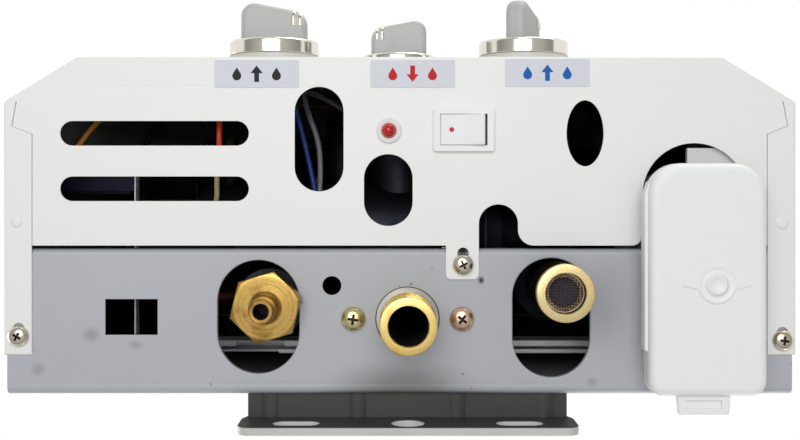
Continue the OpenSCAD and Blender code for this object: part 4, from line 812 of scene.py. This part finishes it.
def thread_ridge(bm, centre, low, high):
    """Helical ridge of a pipe thread between two heights, fading out at its upper end."""
    root = thread_r - THREAD_DEPTH - 0.05
    top = thread_r - 0.02
    steps = 40
    turns = round((high - low) / PITCH - 1)
    fade = 0.8 * PITCH
    axis = Vector((centre.x, centre.y, 0))
    profile = [(root, -0.46), (top - 0.12, -0.1), (top, 0), (top - 0.12, 0.1), (root, 0.46)]
    face = bm.faces.new([bm.verts.new((axis + Vector((r, 0, low + (0.5 + z) * PITCH))) * MM)
                         for r, z in profile])
    bmesh.ops.spin(bm, geom=[face], cent=axis * MM, axis=UP, dvec=UP * PITCH * MM / steps,
                   angle=2 * math.pi * turns, steps=steps * turns)
    for vert in {v for f in bm.faces for v in f.verts}:
        height = at(vert).z
        out = at(vert) - axis - UP * height
        rise = max(min((high - height) / fade, 1), 0)
        vert.co = (axis + out.normalized() * (root + (out.length - root) * rise) + UP * height) * MM


def darken_bore(bm, centre, radius):
    """Gives the faces inside a radius the second material, the near-black painted shade of a bore."""
    for face in bm.faces:
        if all(math.hypot(at(v).x - centre.x, at(v).y - centre.y) < radius for v in face.verts):
            face.material_index = 1


def threaded_fitting(way, centre):
    """Male pipe fitting: bored tube with a flat end, helical thread and relieved neck."""
    node = f"water_{way}_fitting"
    top = box(node)[1].z - fitting_end
    run_out = 1 + THREAD_L
    root, crown, neck = thread_r - THREAD_DEPTH, thread_r - 0.02, thread_r - 0.6
    bm = bmesh.new()
    thread_ridge(bm, centre, fitting_end + 0.7, fitting_end + run_out)
    lathe(bm, [
        (BORE_R, top), (BORE_R, 0.35), (BORE_R + 0.3, 0), (thread_r - 0.5, 0), (thread_r - 0.12, 0.15),
        (crown, 0.4), (crown, 0.9), (root, 1.5), (root, run_out), (neck, run_out + 0.6), (neck, top),
        (BORE_R, top)], centre, 72, fitting_end)
    # Near-black painted shade inside the bore
    darken_bore(bm, centre, BORE_R + 0.05)
    piece(f"water_{way}_threaded", bm, "fitting_brass", node, f"{way}_brass", "bore_dark")


def outlet_flange():
    """Oval flange of the outlet, above the pan, and the boss on it."""
    low, high = box("water_outlet_fitting")
    plate_low, thick, plate_r, boss_r = underside + 0.8, 6, 14, 13
    neck_r = thread_r - 0.7
    outline = rounded_rectangle((low.x, outlet_at.y - plate_r), (high.x, outlet_at.y + plate_r),
                                [plate_r - NEAR] * 4)
    bm = prism(bmesh.new(), outline, plate_low, plate_low + thick)
    soften(bm, 0.4)
    bmesh.ops.remove_doubles(bm, verts=bm.verts, dist=WELD)
    hole = [(0, -1), (neck_r, -1), (neck_r, thick + 1), (0, thick + 1)]
    bm = cut(bm, lathe(bmesh.new(), hole, outlet_at, 48, plate_low))
    top = high.z - plate_low
    lathe(bm, [(neck_r, thick - 0.2), (boss_r, thick - 0.2), (boss_r, top - 0.6), (boss_r - 0.6, top),
               (neck_r, top)], outlet_at, 56, plate_low)
    piece("water_outlet_flange", bm, "fitting_brass", finish="flange_zinc")


def gas_fitting():
    """Hexagon with turned corners, a collar on its face, and a barbed hose nozzle."""
    low, high = box("gas_inlet_fitting")
    nozzle_l, hex_h, flat_r, bore_r, stem_r, first_corner = 14, 7.6, 12, 2.75, 9.5, 43.4
    face = low.z + nozzle_l
    hex_r = flat_r / math.cos(math.pi / 6)
    angles = [math.radians(first_corner + 60 * i) for i in range(6)]
    corners = [(gas_at.x + hex_r * math.cos(a), gas_at.y + hex_r * math.sin(a)) for a in angles]
    bm = prism(bmesh.new(), corners, face, face + hex_h)
    turned = lathe(bmesh.new(), [
        (0, -NEAR), (flat_r - 0.4, -NEAR), (hex_r + 0.6, 1.6), (hex_r + 0.6, hex_h - 1.6),
        (flat_r, hex_h + NEAR), (0, hex_h + NEAR)], gas_at, 64, face)
    bm = cut(bm, turned, "INTERSECT")
    soften(bm, 0.2)
    lathe(bm, [
        (0, nozzle_l - 0.3), (bore_r, nozzle_l - 0.3), (bore_r, 0.5), (bore_r + 0.25, 0), (4.1, 0),
        (4.5, 0.5), (4.9, 5.8), (4.8, 6.1), (4.1, 6.4), (5.3, 9.6), (5.2, 9.9), (4.7, 10.2), (5.5, 12.6),
        (5.6, nozzle_l - 0.5), (6.1, nozzle_l - 0.2), (6.3, nozzle_l + 0.1)], gas_at, 56, low.z)
    for radius, width, height in ((8.6, 0.5, 0.25), (10.3, 0.35, 0.2)):
        inner, outer = radius - width, radius + width
        lathe(bm, [(inner, 0.05), (inner + 0.1, -height), (outer - 0.1, -height), (outer, 0.05)], gas_at, 64,
              face)
    lathe(bm, [(stem_r, hex_h - 0.1), (stem_r, high.z - face)], gas_at, 48, face)
    # Near-black painted shade inside the nozzle's bore
    darken_bore(bm, gas_at, bore_r + 0.3)
    piece("gas_inlet_turned", bm, "fitting_brass", "gas_inlet_fitting", "gas_brass", "bore_dark")


def strainer():
    """Cup of woven wire, pressed into the bore: a sloping edge and a level middle."""
    low, high = box("inlet_filter")
    rim_r, rim_h = (high.x - low.x) / 2, high.z - low.z
    mesh_r = rim_r - 0.4
    depth, wire_r, count = 1.7, 0.24, 14
    gap = 2 * mesh_r / count
    bm = lathe(bmesh.new(), [
        (mesh_r, 0.1), (mesh_r + 0.1, 0), (rim_r - 0.1, 0), (rim_r, 0.1), (rim_r, rim_h), (mesh_r, rim_h),
        (mesh_r, 0.1)], inlet_at, 56, low.z)
    # A closed disc above the mesh; it and the rim's top take near-black painted shade for the bore behind
    # them
    lathe(bm, [(0, rim_h), (mesh_r, rim_h)], inlet_at, 56, low.z)
    for face in bm.faces:
        face.material_index = int(face.calc_center_median().z / MM > high.z - NEAR)
    for crossed in (0, 1):
        for line in range(count + 1):
            offset = line * gap - mesh_r
            half = math.sqrt(max(mesh_r ** 2 - offset ** 2, 0))
            if half < gap:
                continue
            spans = max(2 * round(half / gap), 2)
            path = []
            for i in range(spans + 1):
                run = 2 * half * i / spans - half
                weave = wire_r / 2 * (-1) ** (i + line + crossed)
                slope = min((mesh_r - math.hypot(run, offset)) / (mesh_r - MESH_R), 1)
                path.append(Vector((run, offset, depth * slope + weave)))
            made = bmesh.ops.create_circle(bm, segments=4, radius=wire_r * MM)["verts"]
            turn(bm, Matrix.Rotation(QUARTER, 3, "Y"), made)
            shift(bm, path[0], made)
            loop = {e for v in made for e in v.link_edges}
            for here, there in zip(path, path[1:]):
                grown = bmesh.ops.extrude_edge_only(bm, edges=list(loop))["geom"]
                fresh = [g for g in grown if isinstance(g, bmesh.types.BMVert)]
                loop = {g for g in grown if isinstance(g, bmesh.types.BMEdge)
                        and all(v in fresh for v in g.verts)}
                shift(bm, there - here, fresh)
                made += fresh
            turn(bm, Matrix.Rotation(crossed * QUARTER, 3, "Z"), made)
            shift(bm, (inlet_at.x, inlet_at.y, low.z + 0.5), made)
    bmesh.ops.recalc_face_normals(bm, faces=bm.faces)
    piece("inlet_strainer", bm, "mesh_steel", "inlet_filter", inlay="bore_dark")


threaded_fitting("inlet", inlet_at)
threaded_fitting("outlet", outlet_at)
outlet_flange()
gas_fitting()
strainer()


# Knobs

# Ring diameter, skirt height, ring height, grip's tip, grip's length and thickness
LARGE_KNOB = (37.5, 5.9, 6.2, 29.6, 27.8, 8.5)
SMALL_KNOB = (30.5, 1.5, 4.8, 22.0, 23.2, 7)
PANEL_GAP = 0.3
SPINDLE_R = 4


def hub_top(size):
    """Height of a knob's hub, just below the top of its ring."""
    return size[1] + size[2] - 1


def grip_side(size):
    """Side outline of a grip: high and round at one end, lower at the other."""
    tip, length = size[3:5]
    base, end, fall = hub_top(size), length / 2, 0.19 * length
    return filleted([(-end, base), (-end, tip), (end, tip - fall), (end, base)],
                    [0, 0.2 * length, 0.24 * length, 0], 10)


def grip(size):
    """Grip of a knob about its own axis."""
    thick = size[5]
    bm = prism(bmesh.new(), grip_side(size), -thick / 2, thick / 2)
    rims = [e for e in bm.edges if abs(at(e.verts[0]).z - at(e.verts[1]).z) < NEAR
            and max(at(v).y for v in e.verts) > hub_top(size) + 0.1]
    soften(bm, 0.33 * thick, rims, 6)
    turn(bm, Matrix.Rotation(QUARTER, 3, "X"))
    return bm


def crest(outline, x):
    """Height of an outline's upper side at x."""
    return max(a.y + (b.y - a.y) * (x - a.x) / (b.x - a.x) for a, b in zip(outline, outline[1:])
               if min(a.x, b.x) <= x <= max(a.x, b.x) and a.x != b.x)


def pointer(size):
    """Two bright ribs that wrap over the low end of a grip."""
    tip, length, thick = size[3:]
    rib_r = 0.04 * length
    sink = 0.55 * rib_r
    foot = tip - 0.39 * length
    side = thick / 2 - sink
    routes = []
    for share in (0.3, 0.395):
        x = share * length
        top = crest(grip_side(size), x) - sink
        over = filleted([(-side, foot), (-side, top), (side, top), (side, foot)],
                        [0, 0.33 * thick, 0.33 * thick, 0])
        routes.append([(x, *point) for point in over])
    return tube(routes, rib_r)


def knob(name, size, angle):
    """Grip, pointer, ring and skirt of a knob, turned about its spindle."""
    ring_r, skirt, ring = size[0] / 2, size[1], size[2]
    hub_r, skirt_r = ring_r - 1.6, ring_r + 0.3
    base = hub_top(size)
    spindle = middle(box(name + "_skirt"))
    place = (Matrix.Translation(Vector((spindle.x, front_y, spindle.z)) * MM)
             @ Matrix.Rotation(QUARTER, 4, "X") @ Matrix.Rotation(math.radians(angle), 4, "Z"))
    plastic = lathe(grip(size), [(0, skirt + 0.1), (hub_r, skirt + 0.1), (hub_r, base - 0.3),
                                 (hub_r - 0.3, base), (0, base)])
    band = filleted([(hub_r, skirt), (ring_r, skirt), (ring_r, skirt + ring), (hub_r, skirt + ring)],
                    [0, 0.6, 1.2, 0.2])
    bright = lathe(bmesh.new(), band + band[:1], steps=72)
    below = lathe(bmesh.new(), [
        (SPINDLE_R, PANEL_GAP), (skirt_r, PANEL_GAP), (skirt_r, skirt - 0.5), (skirt_r - 0.15, skirt - 0.15),
        (skirt_r - 0.5, skirt), (SPINDLE_R, skirt), (SPINDLE_R, PANEL_GAP)], steps=72)
    for part, bm, slot, replaced, finish in (
            ("grip", plastic, "knob_plastic", name, None),
            ("pointer", pointer(size), "knob_chrome", None, None),
            ("ring", bright, "knob_chrome", name + "_trim", None),
            ("base", below, "white_plastic", name + "_skirt", "skirt_plastic")):
        bmesh.ops.transform(bm, matrix=place, verts=bm.verts)
        piece(f"{name}_{part}", bm, slot, replaced, finish, body=node_body(name))


knob("gas_knob", LARGE_KNOB, 0)
knob("season_knob", SMALL_KNOB, 180)
knob("water_knob", LARGE_KNOB, 69)


# Electrics on the underside

def rocker():
    """Rocker that fills its well from side to side, and at both ends."""
    bm = merged_copy("switch_rocker")
    soften(bm, 0.4, None, 3, 50)
    low, high = box("switch_rocker")
    side_gaps, pressed_gap, raised_gap = 0.66, 0.38, 0.33
    wider = 1 + side_gaps / (high.y - low.y)
    about = Matrix.Translation(-middle((low, high)) * MM)
    bmesh.ops.scale(bm, vec=(1, wider, 1), space=about, verts=bm.verts)
    shift(bm, (-pressed_gap, 0, 0), [v for v in bm.verts if at(v).x < low.x + 1])
    shift(bm, (raised_gap, 0, 0), [v for v in bm.verts if at(v).x > high.x - 1])
    piece("switch_rocker_filled", bm, "white_plastic", "switch_rocker", body="rocker")


def hinge_eye(x, y, z, stem_low):
    """Eye for a hinge pin along X, with a stem below it."""
    half, eye_r, hole_r, edge = 1.2, 1.75, 1.15, 0.2
    bm = lathe(bmesh.new(), [
        (hole_r, -half), (eye_r - edge, -half), (eye_r, -half + edge), (eye_r, half - edge),
        (eye_r - edge, half), (hole_r, half), (hole_r, -half)], steps=32)
    turn(bm, Matrix.Rotation(QUARTER, 3, "Y"))
    shift(bm, (x, y, z))
    stem_high = z - 1.5
    block(bm, (2 * half, 2.8, stem_high - stem_low), (x, y, (stem_low + stem_high) / 2))
    return bm


def battery_lid():
    """Lid with soft edges, a hollow inside, a latch tab, a pressed boss and two hinge eyes."""
    low, high = Vector((87.6, -99.6, -10.4)), Vector((130.9, -14.6, -1.4))
    radii = (12, 12, 5.5, 5.5)
    edge, wall, skin = 3.2, 2.4, 1.6
    bm = prism(bmesh.new(), rounded_rectangle(low, high, radii), low.z, high.z)
    soften(bm, edge, [e for e in bm.edges if all(at(v).z < low.z + NEAR for v in e.verts)], 7)
    bm = cut(bm, prism(bmesh.new(), rounded_rectangle(low, high, radii, wall), low.z + skin, high.z + 1))

    lip_low = -7.5
    lip = prism(bmesh.new(), ((88.4, -93.4), (86.5, -88.6), (86.4, -86), (86.4, -31.4), (86.9, -30.6),
                              (88.4, -30.6)), lip_low, high.z)
    soften(lip, 0.9, None, 4)
    join(bm, lip)

    tab_x, tab_low, tab_high, root, tip, reach = 108.4, -6.9, -3.9, 9.9, 9.2, high.y + 7.2
    tab = prism(bmesh.new(), ((tab_x - root, high.y - 1), (tab_x + root, high.y - 1), (tab_x + tip, reach),
                              (tab_x - tip, reach)), tab_low, tab_high)
    soften(tab, 0.6, None, 3)
    dish = bmesh.new()
    block(dish, (13, 3.2, 2.4), (tab_x, high.y + 3.4, tab_low))
    join(bm, cut(tab, dish))

    boss = Vector((112, -55.4))
    lathe(bm, [(r, -h) for r, h in (
        (0, 0.55), (1.4, 0.6), (2.3, 0.95), (2.9, 1.3), (3.3, 1.35), (3.7, 1.1), (4.2, 0.35), (4.8, 0.12),
        (5.6, 0.16), (6.1, 0.5), (6.7, 0.5), (7.3, -0.05))], boss, 56, low.z)
    for side in (-1, 1):
        wing = prism(bmesh.new(), [(boss.x + side * x, boss.y + y) for x, y in (
            (6.4, -1.9), (12.4, -0.5), (12.4, 0.5), (6.4, 1.9))], low.z - 0.55, low.z + 0.2)
        soften(wing, 0.25)
        join(bm, wing)
    hinge_x, hinge_y, hinge_z, apart = 108.6, -97, 2, 11.2
    for side in (-1, 1):
        join(bm, hinge_eye(hinge_x + side * apart, hinge_y, hinge_z, high.z - 2))
    piece("battery_lid_rounded", bm, "white_plastic", "battery_lid", body=node_body("battery_lid"))


def rocker_dot():
    """Coloured spot on the pressed end of the rocker."""
    low, high = box("switch_rocker")
    inset, below = 3.9, 20
    start = Vector((low.x + inset, (low.y + high.y) / 2, low.z - below)) * MM
    place, normal, _, _ = BVHTree.FromBMesh(merged_copy("switch_rocker")).ray_cast(start, UP)
    bm = lathe(bmesh.new(), [(0, -0.06), (0.85, -0.05), (0.95, 0.01), (0.95, 0.1)], steps=32)
    turn(bm, (-UP).rotation_difference(normal).to_matrix())
    shift(bm, place / MM)
    piece("rocker_dot", bm, "lamp_red", finish="dot_red", body="rocker")


def lens():
    """Smooth domed lens over the lamp, and its two legs."""
    low, high = box("led_lamp")
    radius, lens_h, leg_r, leg_gap = (high.x - low.x) / 2, 11, 0.3, 1.27
    angles = [math.radians(9 * i) for i in range(11)]
    arc = [(radius * math.sin(a), radius * (1 - math.cos(a))) for a in angles]
    bm = lathe(bmesh.new(), arc + [(radius, lens_h), (0, lens_h)], lamp_at, 48, low.z)
    for side in (-1, 1):
        lathe(bm, [(leg_r, lens_h), (leg_r, high.z - low.z), (0, high.z - low.z)],
              (lamp_at.x + side * leg_gap, lamp_at.y), 12, low.z)
    piece("lamp_lens", bm, "lamp_red", "led_lamp")


refined("switch_housing", 0.5, 3, 50)
refined("led_holder", 0.35, 3, 50, "bezel_plastic")
refined("battery_box", 0.4, 2, 50)
rocker()
battery_lid()
rocker_dot()
lens()


# Marks on the cover

LABEL = Vector((32, 10.5, 0.3))
INK = 0.05


def arrow(bm, x, y, way, low, high):
    """Solid arrow along Y; way is -1 for one that points to the front."""
    shaft, head, length, neck = 0.9, 2.3, 3.1, 0.2
    points = [(-shaft, -length), (shaft, -length), (shaft, neck), (head, neck), (0, length), (-head, neck),
              (-shaft, neck)]
    prism(bm, [(x + px, y + way * py) for px, py in points], low, high)


def drop(bm, x, y, low, high):
    """Drop with its point towards the front."""
    radius, tip = 1.7, 3.2
    angles = [math.radians(a) for a in range(-30, 211, 20)]
    points = [(radius * math.cos(a), radius * math.sin(a)) for a in angles] + [(0, -tip)]
    prism(bm, [(x + px, y + 0.8 + py) for px, py in points], low, high)


def label(name, x, y, ink, way):
    """Plate on the flap with a sign of an arrow between two drops."""
    bm = bmesh.new()
    block(bm, LABEL, (x, y, flap_z - LABEL.z / 2))
    upright = [e for e in bm.edges if abs(at(e.verts[0]).z - at(e.verts[1]).z) > LABEL.z / 2]
    soften(bm, 0.5, upright, 4)
    piece(name + "_plate", bm, "cover_paint", finish="label_card")
    bm = bmesh.new()
    step, face = 7.5, flap_z - LABEL.z
    drop(bm, x - step, y, face - INK, face + INK)
    arrow(bm, x, y, way, face - INK, face + INK)
    drop(bm, x + step, y, face - INK, face + INK)
    piece(name + "_sign", bm, "cover_paint", finish=ink)


def dimples():
    """Ring-shaped press marks in the side strips."""
    bm = bmesh.new()
    for centre in ((-148, -77.8), (141.9, -77)):
        lathe(bm, [(0, -0.5), (0.9, -0.56), (1.5, -0.5), (1.9, -0.3), (2.2, -0.08), (2.5, 0.02)], centre, 32,
              flap_z)
    piece("strip_dimples", bm, "cover_paint")


label("gas_inlet_label", -57.1, front_y + 6.5, "ink_black", -1)
label("hot_outlet_label", 1.9, front_y + 6.5, "ink_red", 1)
label("cold_inlet_label", 52.9, front_y + 6.1, "ink_blue", -1)
dimples()


# Wires, on given routes: they cross the openings where the photograph shows wires

WIRE_R = 1.1


def softened(route):
    """A route with its inner corners cut off."""
    inner = [(3 * here + near) / 4 for before, here, after in zip(route, route[1:], route[2:])
             for near in (before, after)]
    return [route[0], *inner, route[-1]]


def wires(name, slot, *routes, lead="insulated", finish=None):
    """Insulated wires in place of a CAD node, or one lead of it."""
    paths = []
    for route in routes:
        path = [Vector(point) for point in route]
        for _ in range(4):
            path = softened(path)
        paths.append(path)
    piece(f"{name}_{lead}", tube(paths, WIRE_R), slot, None if finish else name, finish)


wires("wire_blue", "insulation_blue", [
    (-8.4, -112.3, 22.4), (-8.4, -112.3, 36), (-24, -135, 44), (-50, -137, 44), (-43.9, -119, 43),
    (-37.6, -91, 42), (-36.6, -83, 40), (-52, -92, 33), (-64, -98.5, 31), (-78, -101, 31), (-102, -101, 52),
    (-109.9, -101, 52)])
wires("wire_red", "insulation_red", [
    (17.2, -112.6, 34.4), (17.2, -112.6, 46.4), (6, -132, 72), (-50, -138, 60), (-73.7, -133, 30),
    (-73.7, -112, 22), (-74, -102, 26), (-90, -98.5, 72), (-102, -97.5, 72), (-109.9, -97.5, 72)])
wires("wire_grey", "insulation_grey", [
    (-2.6, -72, 98.1), (-2.6, -72, 110), (-8, -114, 100), (-45, -136, 66), (-40.6, -121.5, 46),
    (-36.4, -111, 46), (-35.4, -102, 46), (-35.6, -88, 46), (-38, -81, 42), (-56, -92, 37), (-66, -98.5, 36),
    (-80, -104.5, 34), (-102, -104.5, 46), (-109.9, -104.5, 46)])
wires("wires_brown", "insulation_brown", [
    (90.1, -74, 58), (82.2, -74, 58), (60, -112, 40), (34, -116, 50), (25.2, -112.6, 44.4),
    (25.2, -112.6, 34.4)], [
    (-138, -98, 39.9), (-138, -98, 30), (-122, -120, 31), (-112, -132.5, 60), (-50, -132.5, 150),
    (-11.5, -133, 200), (-11.5, -124.1, 200)])
wires("wires_brown", "insulation_brown", [
    (-109.9, -98, 92), (-98, -98.5, 90), (-78, -99.5, 44), (-76.6, -95, 36), (-76.6, -82, 36),
    (-92, -80, 80), (-98.6, -72, 96), (-98.6, -72, 72.1)], lead="valve_lead", finish="insulation_cream")
wires("wires_brown", "insulation_brown", [
    (-128, -98, 100.1), (-128, -98, 112), (-112, -136, 122), (-30, -136, 134), (5.5, -135, 150),
    (5.5, -133, 200), (5.5, -124.1, 200)], lead="sense_lead", finish="insulation_black")


# Camera: straight up at the underside, with the front of the heater at the top of the picture

IMAGE_W, IMAGE_H = 800, 440
FOCAL_PX = 1134
AXIS_PX = (392, 193)
SENSOR = 36
CAMERA_AT = (-5.9, -88.7, -422)

camera_data = bpy.data.cameras.new("camera")
camera_data.sensor_width = SENSOR
camera_data.lens = FOCAL_PX * SENSOR / IMAGE_W
camera_data.shift_x = (IMAGE_W / 2 - AXIS_PX[0]) / IMAGE_W
camera_data.shift_y = (AXIS_PX[1] - IMAGE_H / 2) / IMAGE_W
camera_data.clip_start = 0.01
camera = placed("camera", camera_data)
camera.location = Vector(CAMERA_AT) * MM
camera.rotation_euler = (math.pi, 0, 0)
scene.camera = camera


# Floor, light and background, in metres

def floor(level, size):
    bm = bmesh.new()
    bmesh.ops.create_grid(bm, x_segments=8, y_segments=8, size=size)
    bmesh.ops.translate(bm, vec=(0, 0, level), verts=bm.verts)
    made = placed("floor", as_mesh("floor", bm))
    finish = Finish("floor_pale")
    finish.coat(finish.mix(finish.noise(3, 3), (236, 236, 236), (228, 228, 228)), 0.8)
    made.data.materials.append(finishes["floor_pale"])


def softbox(name, place, target, size, power):
    data = bpy.data.lights.new(name, "AREA")
    data.shape = "DISK"
    data.size = size
    data.energy = power
    lamp = placed(name, data)
    lamp.location = place
    lamp.rotation_euler = (Vector(target) - Vector(place)).to_track_quat("-Z", "Y").to_euler()
    lamp.visible_camera = False


def background(fill_strength):
    """White to the camera, in reflections and through glass; a dimmer fill for all else."""
    world = bpy.data.worlds.new("studio")
    world.use_nodes = True
    tree = world.node_tree
    tree.nodes.clear()

    def made(kind, *sources):
        node = tree.nodes.new("ShaderNode" + kind)
        for source, target in zip(sources, node.inputs):
            tree.links.new(source, target)
        return node
    rays = made("LightPath").outputs
    either = made("Math", rays["Is Camera Ray"], rays["Is Glossy Ray"])
    also = made("Math", either.outputs[0], rays["Is Transmission Ray"])
    either.operation = also.operation = "MAXIMUM"
    fill, seen = made("Background"), made("Background")
    for light, strength in ((fill, fill_strength), (seen, 1)):
        light.inputs["Color"].default_value = (1, 1, 1, 1)
        light.inputs["Strength"].default_value = strength
    blend = made("MixShader", also.outputs[0], fill.outputs[0], seen.outputs[0])
    made("OutputWorld", blend.outputs[0])
    scene.world = world


floor(-1.25, 6)
background(0.34)
centre_x = casing_x * MM
softbox("key_below", (-0.1, -0.42, -1.05), (centre_x, -0.08, 0.05), 0.9, 6.3)
softbox("front_fill", (0.5, -1.6, 0.5), (centre_x, 0, 0.22), 1.2, 14)
softbox("side_fill", (-1.4, 0.3, 0.9), (centre_x, 0, 0.22), 1.0, 10)
softbox("back_fill", (0.6, 1.6, 0.7), (centre_x, 0, 0.22), 1.2, 12)
scene.view_settings.view_transform = "Standard"
